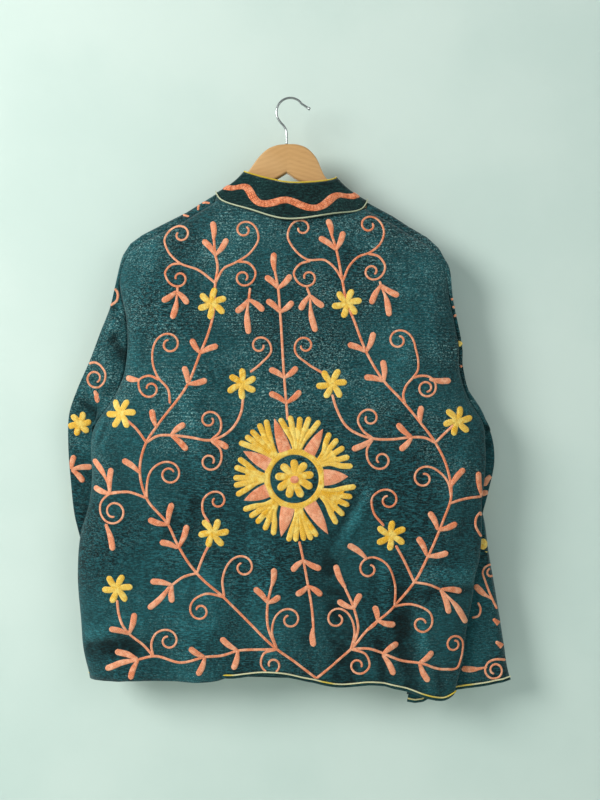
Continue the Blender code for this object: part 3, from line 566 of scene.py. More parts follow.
# Its fans: where each points, how far it reaches and how far it spreads to either side
FANS = (
    (85, 92, 18), (33, 86, 20), (-27, 90, 20.5), (-82, 92, 14.5), (-130.5, 87, 19), (178, 89, 17.4),
    (131, 97, 16.4),
)
# A fan's body from the ring out, its half widths and its last one as a share of its spread
FAN_FOOT, FAN_STEP, FAN_WIDTHS, FAN_SHARE = (42, 58), 1.4, (6.8, 7.6, 10.0), 0.86
# Its fingers: how long, where each passes (share of its lean, reach) and half widths
FINGER_LENGTH, FINGER_PATH = 17, ((0.3, 43), (0.52, 58))
FINGER_NEAR_TIP, FINGER_WIDTHS = (0.82, 16), (2.2, 3.0, 4.1, 4.6, 4.4)
# The large flower's points: direction, reach and half width at the ring
POINTS = (
    (60.4, 84, 9.4), (2.6, 78, 12.5), (-58.7, 94, 10.5), (-103, 86, 10.5), (203, 80, 10.5),
    (151.5, 85, 10.5), (108.4, 93, 9.6),
)
POINT_FOOT, POINT_TAPER, POINT_LEAST = (43, 60), 2.2, 0.4
# Cords: their points, the length of a ply's turn, its thinnest and how it swells; and the wire's
# thicker tip, by its distance from the end and its length
CORD_STEP, CORD_PITCH, PLY_CORE, PLY_SWELL = 1.2, 4.4, 0.8, 0.26
KNOB_BACK, KNOB_LENGTH = 1.6, 1.5
CORD_SIDES, TAPE_SIDES, TAPE_STEP, PIPING_SINK = 8, 10, 3.0, 0.9
WIRE_SIDES, WIRE_STEP, WIRE_KNOB = 18, 0.5, 0.55
# A front repeats the back's design from this far beside the middle.
FRONT_FROM = 46.0
ARM_SECTIONS = 90

# The wave along the collar: where it turns on the back, as shares of the collar's height, and
# how it goes on round the fronts.
WAVE_TURNS = table("x share", (-71, 0.62), (-40, 0.29), (-5, 0.54), (35, 0.27), (74, 0.56))
WAVE_LOW, WAVE_HIGH, WAVE_HALF_LENGTH = 0.28, 0.57, 28.0
WAVE_HALF, WAVE_RISE, SATIN_PITCH = 5.4, 1.2, 2.0
WAVE_ENDS, WAVE_STEP, WAVE_SHADE = 14, 1.2, 0.15

# The wall stands behind the jacket and the floor far below; both reach far to the sides.
WALL_Y, FLOOR_Z, STAGE_TOP, STAGE_REACH, STAGE_FRONT = 58, -1500, 1600, 3000, -4000

# Camera and lights, in metres. Lights point at one spot: place, size, power and colour.
CAMERA_AT, SENSOR, LENS = (0.015, -1.5, -0.4515), 36.0, 45.0
LIT = (0, 0, -0.45)
ROOM_LIGHT = ((0.93, 0.96, 0.96, 1), 0.46)
LIGHTS = {
    "key": ((-2.1, -1.8, 0.5), 1.4, 96, (1.0, 0.99, 0.97)),
    "fill": ((1.6, -2.4, 0.2), 1.8, 14, (0.95, 0.98, 1.0)),
    "rear": ((0.8, 2.4, 0.9), 1.8, 50, (1.0, 0.99, 0.96)),
    "rear_low": ((-1.2, 2.2, -0.9), 1.4, 20, (0.95, 0.98, 1.0)),
}

# Flat sizes of the cloth in metres, and the area where the cut isn't a rectangle.
CUTS = {
    "back": ((0.68, 0.74), 0.42),
    "front_left": ((0.36, 0.76), 0.2),
    "front_right": ((0.42, 0.76), 0.22),
    "sleeve_left": ((0.4, 0.46), 0.13),
    "sleeve_right": ((0.36, 0.42), 0.1),
    "collar": ((0.54, 0.05), None),
}


def smooth(xs, ys, x):
    """A cubic curve through the points of two columns, in either order of x."""
    if xs[0] > xs[-1]:
        xs, ys = xs[::-1], ys[::-1]
    x = np.clip(np.asarray(x, float), xs[0], xs[-1])
    slope = np.gradient(ys, xs)
    i = np.clip(np.searchsorted(xs, x) - 1, 0, len(xs) - 2)
    h = xs[i + 1] - xs[i]
    t = (x - xs[i]) / h
    a = (1 + 2 * t) * (1 - t) ** 2 * ys[i] + t * (1 - t) ** 2 * h * slope[i]
    b = t * t * (3 - 2 * t) * ys[i + 1] + t * t * (t - 1) * h * slope[i + 1]
    return a + b


def look_up(rows, key, name, x):
    return smooth(rows[key], rows[name], x)


def ridge(x):
    """Top line of the shoulders, straight across the neck."""
    return np.interp(x, RIDGE["x"], RIDGE["z"])


def rounded(t):
    """Rises from 0 to 1 as a quarter circle does."""
    t = np.clip(t, 0, 1)
    return np.sqrt(1 - (1 - t) ** 2)


def folds(rows, x, z):
    """Soft ridges, and troughs where the depth is negative, that fade at both ends."""
    total = np.zeros(np.shape(x))
    for x0, z0, x1, z1, half, depth in zip(*rows.values()):
        along = np.hypot(x1 - x0, z1 - z0)
        dx, dz = (x1 - x0) / along, (z1 - z0) / along
        a = ((x - x0) * dx + (z - z0) * dz) / along
        side = (x - x0) * dz - (z - z0) * dx
        past = np.maximum(np.maximum(-a, a - 1), 0) * along
        total += depth * np.exp(-(side / half) ** 2 - (past / (1.5 * half)) ** 2)
    return total


def uneven(x, z):
    """A gentle waviness of the cloth, the same at each run."""
    total = np.zeros(np.shape(x))
    for across, down, turn, height in zip(*UNEVEN.values()):
        total += height * np.sin(x / across * 2 * math.pi + turn) * np.cos(
            z / down * 2 * math.pi + 2 * turn)
    return total


def edge_y(name, z):
    return np.interp(z, EDGE_Y["z"][::-1], EDGE_Y[name][::-1])


def back_y(x, z):
    """Outer face of the back panel."""
    left = look_up(LEFT_EDGE, "z", "x", z)
    right = look_up(RIGHT_EDGE, "z", "x", z)
    share = np.clip((x - left) / (right - left), 0, 1)
    edge = edge_y("left", z) * (1 - share) + edge_y("right_back", z) * share
    bulge = look_up(BACK_BULGE, "z", "y", z)
    rise = rounded((x - left) / BACK_ROUND) * rounded((right - x) / BACK_ROUND)
    top = rounded((ridge(x) - SEAM_DROP - z) / BACK_TOP_ROUND)
    soft = folds(BACK_FOLDS, x, z) + folds(BACK_CREASES, x, z) + uneven(x, z)
    return -(edge + (bulge - edge + soft) * rise * top + TOP_FLARE * (1 - top) ** 4)


def front_y(x, z, side):
    """Outer face of a front panel. The side is -1 on the left and 1 on the right."""
    if side < 0:
        gap = x - look_up(LEFT_EDGE, "z", "x", z)
        edge = edge_y("left", z)
    else:
        above = look_up(RIGHT_EDGE, "z", "x", z)
        below = look_up(OUTER_FOLD, "z", "x", z)
        gap = np.where(np.asarray(z) > OUTER_FOLD["z"][0], above, below) - x
        edge = edge_y("right_front", z)
    rise = rounded(gap / FRONT_ROUND) * rounded((ridge(x) - RIDGE_R - z) / FRONT_TOP_ROUND)
    soft = folds(FRONT_FOLDS, x, z) + folds(FRONT_CREASES, x, z) + uneven(x, z)
    return edge + (FRONT_BULGE - edge + soft) * rise


def coons(top, bottom, left, right, u, v):
    """A patch between four edge curves, each an array of points in (x, z)."""
    u, v = u[None, :, None], v[:, None, None]
    across = (1 - v) * top[None] + v * bottom[None]
    down = (1 - u) * left[:, None] + u * right[:, None]
    corners = (1 - u) * (1 - v) * top[0] + u * (1 - v) * top[-1]
    corners = corners + (1 - u) * v * bottom[0] + u * v * bottom[-1]
    return across + down - corners


def side_curve(edge, top, underarm_z, hem_z, v):
    """Points down one edge, which starts at the end of the shoulder. The underarm is at the
    same share of the way on each piece."""
    z = np.interp(v, (0, UNDERARM_V, 1), (top[1], underarm_z, hem_z))
    x = look_up(edge, "z", "x", z)
    start = top[0] - look_up(edge, "z", "x", top[1])
    return np.stack([x + start * np.clip(1 - v / TIP_V, 0, 1), z], -1)


def row_shares():
    armhole = np.linspace(0, UNDERARM_V, ARMHOLE_ROWS)
    side = np.linspace(UNDERARM_V, 1, SIDE_ROWS + 1)[1:]
    return np.concatenate([armhole, side])


def back_columns():
    """The shoulder columns of the back meet those of the fronts at the seam."""
    width = RIGHT_EDGE["x"][0] - LEFT_EDGE["x"][0]
    left = (BACK_NECK["x"][0] - LEFT_EDGE["x"][0]) / width
    right = (RIGHT_EDGE["x"][0] - BACK_NECK["x"][-1]) / width
    neck = np.linspace(left, 1 - right, NECK_STEPS + 1)[1:-1]
    return np.concatenate([left * SHOULDER_STEPS, neck, 1 - right * SHOULDER_STEPS[::-1]])


def front_columns():
    neckline = np.linspace(NECK_U, 1, NECKLINE_STEPS + 1)[1:]
    return np.concatenate([NECK_U * SHOULDER_STEPS, neckline])


def back_outline(u, v):
    """(x, z) of the back panel, from its left edge to its right one."""
    x_left, x_right = LEFT_EDGE["x"][0], RIGHT_EDGE["x"][0]
    x = x_left + (x_right - x_left) * u
    shoulder = ridge(x) - SEAM_DROP
    neck = look_up(BACK_NECK, "x", "z", x)
    inside = (x > BACK_NECK["x"][0]) & (x < BACK_NECK["x"][-1])
    top = np.stack([x, np.where(inside, neck, shoulder)], -1)
    x_hem = LEFT_EDGE["x"][-1] + (RIGHT_EDGE["x"][-1] - LEFT_EDGE["x"][-1]) * u
    hem = np.stack([x_hem, look_up(BACK_HEM, "x", "z", x_hem) + 2 * BINDING_HALF[1]], -1)
    left = side_curve(LEFT_EDGE, top[0], LEFT_EDGE["z"][6], hem[0, 1], v)
    right = side_curve(RIGHT_EDGE, top[-1], RIGHT_EDGE["z"][6], hem[-1, 1], v)
    return coons(top, hem, left, right, u, v)


def back_points(u, v):
    flat = back_outline(u, v)
    x, z = flat[..., 0], flat[..., 1]
    return np.stack([x, back_y(x, z), z], -1)


def back_return(v):
    """Below the underarm the right side turns in behind itself, down to the inner fold."""
    edge = back_points(np.array([1.0]), v)[:, 0]
    inner = look_up(INNER_FOLD, "z", "x", edge[:, 2]) + RETURN_INSET
    inner = np.minimum(inner, edge[:, 0] - RETURN_INSET)
    drop = np.interp(edge[:, 0] - inner, RETURN_WIDTHS, RETURN_DROPS)
    columns = []
    for share, depth in RETURN_STEPS:
        x = edge[:, 0] - RETURN_LEAN * depth - (edge[:, 0] - inner) * share
        columns.append(np.stack([x, edge[:, 1] + depth, edge[:, 2] + drop * share], -1))
    return np.stack(columns, 1)


def front_outline(side, u, v):
    """(x, z) of a front, from its outer edge to the centre front."""
    x_top = LEFT_EDGE["x"][0] if side < 0 else RIGHT_EDGE["x"][0]
    x_neck = RIDGE["x"][6] if side < 0 else RIDGE["x"][7]
    x_centre = CENTRE_TOP[0] + side * FRONT_PARTING[0]
    x = np.interp(u, (0, NECK_U, 1), (x_top, x_neck, x_centre))
    neck_z = FRONT_NECK["z_left"] if side < 0 else FRONT_NECK["z_right"]
    reach = np.abs(x - x_neck) * FRONT_NECK["x"][-1] / abs(x_centre - x_neck)
    neck = smooth(FRONT_NECK["x"], neck_z, reach)
    top = np.stack([x, np.where(u < NECK_U, ridge(x) - RIDGE_R, neck)], -1)
    edge = LEFT_EDGE if side < 0 else RIGHT_EDGE
    below = LEFT_EDGE if side < 0 else OUTER_FOLD
    x_hem = np.interp(u, (0, 1), (below["x"][-1], CENTRE_HEM[0] + side * FRONT_PARTING[1]))
    hem = np.stack([x_hem, look_up(FRONT_HEM, "x", "z", x_hem) + 2 * BINDING_HALF[1]], -1)
    outer = side_curve(edge, top[0], edge["z"][6], hem[0, 1], v)
    lower = v > UNDERARM_V
    outer[lower, 0] = look_up(below, "z", "x", outer[lower, 1])
    centre = top[-1] + (hem[-1] - top[-1]) * v[:, None]
    return coons(top, hem, outer, centre, u, v)


def front_points(side, u, v):
    flat = front_outline(side, u, v)
    x, z = flat[..., 0], flat[..., 1]
    y = front_y(x, z, side)
    own_edge = np.where((u[None, :] == 0) & (v[:, None] > UNDERARM_V), SEAM_GAP / 2, 0)
    return np.stack([x, y + own_edge * (side < 0), z], -1)


def ridge_wrap(side, u):
    """The rows of a front that go over the hanger's arm to the shoulder seam behind it."""
    x = front_outline(side, u, np.array([0.0]))[0, :, 0]
    top = ridge(x)
    flare = np.full(len(x), -RIDGE_R - TOP_FLARE)
    rows = [np.stack([x, flare, top - SEAM_DROP + CLOSED_SEAM], -1)]
    for degrees in WRAP_DEGREES:
        angle = math.radians(degrees)
        y = np.full(len(x), RIDGE_R * math.cos(angle))
        rows.append(np.stack([x, y, top - RIDGE_R * (1 - math.sin(angle))], -1))
    return np.stack(rows)


def strip_points(v):
    """The right front's stretch from the inner fold out to the outer fold, seen below the arm."""
    edge = front_points(1, np.array([0.0]), v)[:, 0]
    z = edge[:, 2]
    inner = np.minimum(look_up(INNER_FOLD, "z", "x", z), edge[:, 0] - STRIP_INSET)
    columns = []
    start = back_return(v)[:, -1, 1] + STRIP_GAP
    for share in STRIP_COLUMNS:
        x = inner + (edge[:, 0] - inner) * share
        hem = look_up(STRIP_HEM, "x", "z", x) - look_up(FRONT_HEM, "x", "z", edge[:, 0])
        low = np.clip((v - UNDERARM_V) / (1 - UNDERARM_V), 0, 1) ** 3
        y = start * (1 - STRIP_EASE * share) + np.where(share > STRIP_ROLL_FROM, STRIP_ROLL, 0.0)
        columns.append(np.stack([x, y, z + hem * low], -1))
    return np.stack(columns, 1)


def sleeve_angles():
    """Where each point of a ring lies round it: back rows down, front rows up, then the ridge."""
    down = np.linspace(RING_TOP, math.pi - RING_BOTTOM, ARMHOLE_ROWS)
    full = 2 * math.pi
    over = np.linspace(full - RING_OVER, full + RING_OVER, len(WRAP_DEGREES) + 1)
    return np.concatenate([down, 2 * math.pi - down[::-1], over])


def armhole_ring(side):
    """The first ring of a sleeve, along the armhole edges of the back and the front."""
    v = np.linspace(0, UNDERARM_V, ARMHOLE_ROWS)
    outer = np.array([0.0])
    back_u = outer if side < 0 else np.array([1.0])
    back = back_points(back_u, v)[:, 0]
    front = front_points(side, outer, v)[::-1, 0]
    over = ridge_wrap(side, outer)[::-1, 0]
    ring = np.concatenate([back, front, over])
    ring[:, 0] += side * CLOSED_SEAM
    return ring


def sleeve_ring(rows, t, angles):
    """One flattened ring between the ends of its long axis."""
    out = np.array([look_up(rows, "t", "out_" + axis, t) for axis in "xyz"])
    inn = np.array([look_up(rows, "t", "in_" + axis, t) for axis in "xyz"])
    share = (1 - np.cos(angles)) / 2
    ring = out + (inn - out) * share[:, None]
    thick = look_up(rows, "t", "half", t)
    thick = thick + folds(SLEEVE_CREASES, ring[:, 0], ring[:, 2]) + uneven(ring[:, 0], ring[:, 2])
    ring[:, 1] -= thick * np.sign(np.sin(angles)) * np.abs(np.sin(angles)) ** RING_SQUARE
    if rows is RIGHT_SLEEVE:
        hold_in(ring)
    return ring


def hold_in(ring):
    """The right sleeve's top follows the side of the back, which curves in above the underarm."""
    limit = look_up(RIGHT_EDGE, "z", "x", ring[:, 2]) + SLEEVE_PROUD
    over = np.log1p(np.exp((ring[:, 0] - limit) / SLEEVE_EASE)) * SLEEVE_EASE
    ring[:, 0] -= over * np.clip((ring[:, 2] - HELD_FROM) / HELD_OVER, 0, 1)


def sleeve_points(side, count):
    """Rings from the armhole to the cuff. They start straight outwards."""
    rows = LEFT_SLEEVE if side < 0 else RIGHT_SLEEVE
    angles = sleeve_angles()
    first = armhole_ring(side)
    shift = first - sleeve_ring(rows, 0.0, angles)
    rings = [first]
    for t in np.linspace(0, rows["t"][-1], count)[1:]:
        fade = max(0.0, 1 - t / ARMHOLE_FADE) ** 2
        ledge = side * SLEEVE_LEDGE * (1 - math.exp(-t / LEDGE_EASE)) * fade
        rings.append(sleeve_ring(rows, t, angles) + shift * fade + np.array([ledge, 0.0, 0.0]))
    return np.stack(rings)


def collar_points(columns, rows):
    """From the left centre front round the back of the neck, seam first, then upwards."""
    u = np.linspace(0, 1, columns)
    seam = np.stack([look_up(COLLAR, "u", "seam_" + axis, u) for axis in "xyz"], -1)
    edge = np.stack([look_up(COLLAR, "u", "edge_" + axis, u) for axis in "xyz"], -1)
    outward = np.stack([np.zeros(columns), np.sign(seam[:, 1]), np.zeros(columns)], -1)
    outward[:, 1] *= np.minimum(np.abs(seam[:, 1]) / COLLAR_DEEP, 1)
    beside = np.clip(1 - np.abs(seam[:, 1]) / PINCH_DEEP, 0, 1)
    beside *= np.abs(seam[:, 0]) > PINCH_ASIDE
    pinch = np.stack([-np.sign(seam[:, 0]) * beside, 0 * beside, 0 * beside], -1) * COLLAR_PINCH
    grid = []
    for share in np.linspace(0, 1, rows):
        bow = math.sin(math.pi * share)
        grid.append(seam + (edge - seam) * share - outward * COLLAR_CURL * bow + pinch * bow)
    return np.stack(grid)


def unit(vectors):
    return vectors / np.maximum(np.linalg.norm(vectors, axis=-1, keepdims=True), 1e-9)


def normals(grid, closed=False):
    """Normals of a grid of points by its two directions."""
    if closed:
        across = np.roll(grid, -1, 1) - np.roll(grid, 1, 1)
    else:
        across = np.gradient(grid, axis=1)
    return unit(np.cross(np.gradient(grid, axis=0), across))


def hex_colour(text):
    """A linear colour from a hexadecimal screen colour."""
    values = [int(text[i:i + 2], 16) / 255 for i in (0, 2, 4)]
    return [v / 12.92 if v <= 0.04045 else ((v + 0.055) / 1.055) ** 2.4 for v in values]


def node(tree, kind, inputs=(), **settings):
    """A shader node with its settings, and its sockets linked or set."""
    made = tree.nodes.new(kind)
    for key, value in settings.items():
        setattr(made, key, value)
    set_inputs(tree, made, inputs)
    return made


def set_inputs(tree, made, inputs):
    for key, value in inputs:
        if isinstance(value, bpy.types.NodeSocket):
            tree.links.new(value, made.inputs[key])
        else:
            made.inputs[key].default_value = value


def calc(tree, operation, a, b=0.0):
    return node(tree, "ShaderNodeMath", ((0, a), (1, b)), operation=operation).outputs[0]


def times(tree, a, b):
    return calc(tree, "MULTIPLY", a, b)


def plus(tree, a, b):
    return calc(tree, "ADD", a, b)


def split(tree, vector):
    return node(tree, "ShaderNodeSeparateXYZ", ((0, vector),)).outputs


def stitch_parts(tree):
    """The three numbers that each point of a mesh has for its stitching; on cloth the first is its
    crease height, which drives painted shade and highlight.
    """
    return split(tree, node(tree, "ShaderNodeAttribute", attribute_name="stitch").outputs["Vector"])


def blend(tree, share, a, b):
    """A colour between two, each a socket or a hexadecimal colour."""
    a = (*hex_colour(a), 1) if isinstance(a, str) else a
    b = (*hex_colour(b), 1) if isinstance(b, str) else b
    mix = node(tree, "ShaderNodeMix", ((0, share), (6, a), (7, b)), data_type="RGBA")
    return mix.outputs[2]


def remap(tree, value, low, high, to_low=0.0, to_high=1.0):
    inputs = ((0, value), (1, low), (2, high), (3, to_low), (4, to_high))
    return node(tree, "ShaderNodeMapRange", inputs, interpolation_type="SMOOTHSTEP").outputs[0]


def place(tree, scale):
    """Object coordinates, stretched along each axis."""
    coord = node(tree, "ShaderNodeTexCoord").outputs["Object"]
    return node(tree, "ShaderNodeMapping", (("Vector", coord), ("Scale", scale))).outputs[0]


def noise(tree, scale, detail=2.0, roughness=0.5):
    inputs = (("Vector", place(tree, scale)), ("Scale", 1.0), ("Detail", detail),
              ("Roughness", roughness))
    return node(tree, "ShaderNodeTexNoise", inputs).outputs[0]


def new_material(name):
    made = bpy.data.materials.new(name)
    made.use_nodes = True
    return made, made.node_tree, made.node_tree.nodes["Principled BSDF"]


def bump(tree, shader, height, distance, strength=1.0):
    inputs = (("Strength", strength), ("Distance", distance), ("Height", height))
    made = node(tree, "ShaderNodeBump", inputs)
    tree.links.new(made.outputs[0], shader.inputs["Normal"])


def cloth_material(name, dark, middle, light, fleck):
    """Handloom cotton: dense short slubs in uneven weft rows, a finer warp and a little lint.
    Its creases' ridges get a painted highlight and their troughs painted shade."""
    made, tree, shader = new_material(name)
    patch = noise(tree, (7, 7, 7), 3.0)
    weft = noise(tree, (170, 170, 620), 3.0, 0.6)
    warp = noise(tree, (620, 620, 170), 2.0, 0.6)
    slub = noise(tree, (420, 420, 640), 3.0, 0.7)
    depth = split(tree, place(tree, (1, 1, 1)))[2]
    row = times(tree, depth, 2 * math.pi / WEFT_PITCH)
    row = plus(tree, row, times(tree, noise(tree, (12, 12, 34)), 9.0))
    row = calc(tree, "SINE", row)
    strength = remap(tree, noise(tree, (9, 9, 9), 1.0), 0.4, 0.62)
    row = times(tree, row, strength)
    colour = blend(tree, remap(tree, patch, 0.36, 0.62), dark, middle)
    colour = blend(tree, remap(tree, weft, 0.42, 0.7, 0.0, 0.75), colour, light)
    colour = blend(tree, remap(tree, warp, 0.5, 0.78, 0.0, 0.35), colour, light)
    flecks = remap(tree, slub, 0.5, 0.67)
    flecks = times(tree, flecks, remap(tree, row, -0.8, 0.8, 0.3, 1.0))
    worn = remap(tree, noise(tree, (16, 16, 16), 2.0), 0.38, 0.64, 0.3, 1.0)
    flecks = times(tree, flecks, worn)
    flecks = times(tree, flecks, remap(tree, depth, -0.68, -0.4, 0.28, 1.0))
    colour = blend(tree, times(tree, flecks, 0.75), colour, fleck)
    lint = node(tree, "ShaderNodeTexVoronoi", (("Vector", place(tree, (110, 110, 110))),
                                               ("Scale", 1.0))).outputs["Distance"]
    lint = times(tree, remap(tree, lint, 0.07, 0.04),
                 remap(tree, noise(tree, (22, 22, 22)), 0.6, 0.66))
    colour = blend(tree, times(tree, lint, 0.6), colour, "b9cfc8")
    # Painted highlight on crease ridges and painted shade in crease troughs, from each point's
    # crease height, broken up by noise
    mottle = remap(tree, noise(tree, (34, 34, 34), 3.0), 0.36, 0.62, 0.3, 1.2)
    crease = times(tree, stitch_parts(tree)[0], mottle)
    painted_shade_and_highlight = remap(tree, crease, -CREASE_SHADE_FULL, CREASE_SHADE_FULL, 0.3, 1.8)
    colour = node(tree, "ShaderNodeHueSaturation", (("Value", painted_shade_and_highlight), ("Color", colour))).outputs[0]
    height = plus(tree, times(tree, weft, 0.7), times(tree, warp, 0.4))
    height = plus(tree, height, times(tree, row, 0.22))
    height = plus(tree, height, times(tree, slub, 0.5))
    bump(tree, shader, height, 0.0012, 0.9)
    set_inputs(tree, shader, (
        ("Base Color", colour), ("Roughness", 0.95), ("Specular IOR Level", 0.12),
        ("Sheen Weight", 0.2), ("Sheen Roughness", 0.45), ("Sheen Tint", (0.62, 0.78, 0.78, 1)),
    ))
    return made


def thread_material(name, dark, middle, light):
    """Rows of chain stitch. The stitch attribute is along and across a row, in millimetres,
    and a shade of its own for each motif."""
    made, tree, shader = new_material(name)
    stitch = stitch_parts(tree)
    row = calc(tree, "DIVIDE", plus(tree, stitch[1], 50.0), CHAIN_ROW)
    middle_of_row = calc(tree, "ABSOLUTE", calc(tree, "SUBTRACT", calc(tree, "FRACT", row), 0.5))
    shift = times(tree, calc(tree, "FLOOR", row), 0.37)
    phase = calc(tree, "DIVIDE", stitch[0], CHAIN_LENGTH)
    phase = plus(tree, plus(tree, phase, shift), times(tree, middle_of_row, 0.9))
    loop = calc(tree, "SINE", times(tree, phase, 2 * math.pi))
    loop = remap(tree, loop, -1.0, 0.2)
    groove = remap(tree, middle_of_row, 0.5, 0.3)
    height = times(tree, loop, groove)
    strands = noise(tree, (420, 420, 420), 3.0, 0.6)
    # Painted shade between the chain's loops and in the grooves along its rows' edges
    colour = blend(tree, remap(tree, height, 0.0, 0.8, 0.12, 1.0), dark, middle)
    patch = noise(tree, (140, 140, 140), 2.0)
    colour = blend(tree, remap(tree, patch, 0.42, 0.68, 0.0, 0.6), colour, light)
    colour = blend(tree, times(tree, stitch[2], 0.35), colour, light)
    colour = blend(tree, remap(tree, strands, 0.5, 0.72, 0.0, 0.6), colour, dark)
    relief = plus(tree, height, times(tree, strands, 0.35))
    bump(tree, shader, relief, 0.0009, 1.0)
    set_inputs(tree, shader, (
        ("Base Color", colour), ("Roughness", 0.7), ("Specular IOR Level", 0.25),
        ("Sheen Weight", 0.15), ("Sheen Roughness", 0.4),
    ))
    return made


def cord_material(name, first, second, dark):
    """A cord of two twisted plies. The stitch attribute is along and round it."""
    made, tree, shader = new_material(name)
    stitch = stitch_parts(tree)
    turn = times(tree, stitch[0], 2 * math.pi / CORD_PITCH)
    wave = calc(tree, "SINE", calc(tree, "SUBTRACT", stitch[1], turn))
    crease = calc(tree, "ABSOLUTE", wave)
    patch = noise(tree, (14, 14, 14), 1.0)
    colour = blend(tree, remap(tree, wave, -0.35, 0.35, 0.0, 0.3), first, second)
    colour = blend(tree, remap(tree, patch, 0.44, 0.56), colour, second)
    # Painted shade in the grooves between the two plies
    colour = blend(tree, remap(tree, crease, 0.3, 0.0, 0.0, 0.75), colour, dark)
    strands = noise(tree, (1500, 1500, 1500), 1.0)
    bump(tree, shader, plus(tree, remap(tree, crease, 0.0, 0.5), strands), 0.0004, 0.8)
    set_inputs(tree, shader, (("Base Color", colour), ("Roughness", 0.6),
                              ("Specular IOR Level", 0.3)))
    return made


def wood_material(name):
    """Golden varnished wood with soft long grain and a few darker pores."""
    made, tree, shader = new_material(name)
    wander = noise(tree, (8, 30, 16), 2.0)
    coord = split(tree, place(tree, (1, 1, 1)))
    slope = times(tree, calc(tree, "ABSOLUTE", coord[0]), 300.0)
    rings = plus(tree, times(tree, coord[2], 900.0), slope)
    rings = plus(tree, rings, times(tree, wander, 16.0))
    rings = calc(tree, "SINE", rings)
    pores = noise(tree, (90, 700, 1300), 2.0)
    colour = blend(tree, remap(tree, rings, -1.0, 1.0, 0.0, 0.22), "b48b56", "98703e")
    colour = blend(tree, remap(tree, pores, 0.52, 0.75, 0.0, 0.3), colour, "8e6230")
    colour = blend(tree, remap(tree, wander, 0.45, 0.75, 0.0, 0.5), colour, "c29d6e")
    bump(tree, shader, pores, 0.0003, 0.3)
    set_inputs(tree, shader, (("Base Color", colour), ("Roughness", 0.4), ("Coat Weight", 0.25),
                              ("Coat Roughness", 0.25)))
    return made


def chrome_material(name):
    made, tree, shader = new_material(name)
    smear = noise(tree, (120, 120, 120), 2.0)
    colour = blend(tree, remap(tree, smear, 0.5, 0.75, 0.0, 0.5), "9ba0a0", "6f7676")
    set_inputs(tree, shader, (("Base Color", colour), ("Metallic", 1.0),
                              ("Roughness", remap(tree, smear, 0.35, 0.7, 0.2, 0.36))))
    return made


def wall_material(name, colour, shade):
    """Painted plaster. Its back isn't there, so that the jacket can be seen from behind."""
    made, tree, shader = new_material(name)
    mottle = noise(tree, (3, 3, 3), 4.0)
    tint = blend(tree, remap(tree, mottle, 0.35, 0.65), colour, shade)
    bump(tree, shader, noise(tree, (60, 60, 60), 3.0), 0.002, 0.12)
    set_inputs(tree, shader, (("Base Color", tint), ("Roughness", 0.85),
                              ("Specular IOR Level", 0.2)))
    side = node(tree, "ShaderNodeNewGeometry").outputs["Backfacing"]
    clear = node(tree, "ShaderNodeBsdfTransparent").outputs[0]
    mix = node(tree, "ShaderNodeMixShader", ((0, side), (1, shader.outputs[0]), (2, clear)))
    tree.links.new(mix.outputs[0], tree.nodes["Material Output"].inputs["Surface"])
    return made


def link(name, data):
    """An object for a mesh, a light or a camera."""
    made = bpy.data.objects.new(name, data)
    bpy.context.scene.collection.objects.link(made)
    return made


def mesh_object(name, points, faces, finish, stitch=None):
    """A smooth mesh from points in millimetres."""
    mesh = bpy.data.meshes.new(name)
    mesh.from_pydata((np.asarray(points) * MM).tolist(), [], faces)
    if stitch is not None:
        mesh.attributes.new("stitch", "FLOAT_VECTOR", "POINT")
        mesh.attributes["stitch"].data.foreach_set("vector", np.asarray(stitch, float).ravel())
    mesh.shade_smooth()
    mesh.materials.append(finish)
    made = link(name, mesh)
    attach(made, "root")
    return made


def grid_faces(rows, columns, present=None, closed=False, flip=False):
    r, c = np.meshgrid(np.arange(rows - 1), np.arange(columns if closed else columns - 1),
                       indexing="ij")
    d = (c + 1) % columns
    corners = np.stack([r * columns + c, r * columns + d,
                        (r + 1) * columns + d, (r + 1) * columns + c], -1).reshape(-1, 4)
    if present is not None:
        corners = corners[np.ravel(present)[corners].all(1)]
    return (corners[:, ::-1] if flip else corners).tolist()


def used_only(points, faces):
    """The points that some face uses, and the faces by their new numbers."""
    used = np.unique(np.array(faces))
    number = np.zeros(len(points), int)
    number[used] = np.arange(len(used))
    return points[used], number[np.array(faces)].tolist()


def build_sheet(name, grid, creases, finish, flip, flat, area, present=None, closed=False):
    """A cloth wall over its solid's form. It returns a tree of its outer face for stitching."""
    faces = grid_faces(*grid.shape[:2], present, closed, flip)
    points, faces = used_only(grid.reshape(-1, 3), faces)
    # Crease heights at each point, which the cloth material paints as highlight on ridges and shade
    # in troughs
    relief = np.zeros((len(points), 3))
    relief[:, 0] = sum(folds(rows, points[:, 0], points[:, 2]) for rows in creases)
    made = mesh_object(name + "_cloth", points, faces, finish, relief)
    wall = made.modifiers.new("Wall", "SOLIDIFY")
    wall.thickness = WALL * MM
    wall.offset = -1.0
    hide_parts(name)
    return BVHTree.FromPolygons(points.tolist(), faces)


def distances(path):
    """How far each point of a path lies along it."""
    return np.concatenate([[0], np.cumsum(np.linalg.norm(np.diff(path, axis=0), axis=1))])


def along(path, closed=False):
    if closed:
        step = np.roll(path, -1, 0) - np.roll(path, 1, 0)
    else:
        step = np.gradient(path, axis=0)
    return unit(step)


def even_steps(at, step):
    return np.linspace(0, at[-1], max(3, int(round(at[-1] / step)) + 1))


def resample(path, step, *others):
    """A path and what goes with it, with points about one step apart, and their distances."""
    at = distances(path)
    even = even_steps(at, step)
    spread = [np.stack([np.interp(even, at, a[:, k]) for k in range(a.shape[1])], -1)
              for a in (path, *others)]
    return (even, *spread)


def curve_through(points, step):
    """A smooth curve through points in the plane, as points about one step apart."""
    points = np.array(points, float)
    at = distances(points)
    even = even_steps(at, step)
    return np.stack([smooth(at, points[:, k], even) for k in range(points.shape[1])], -1)


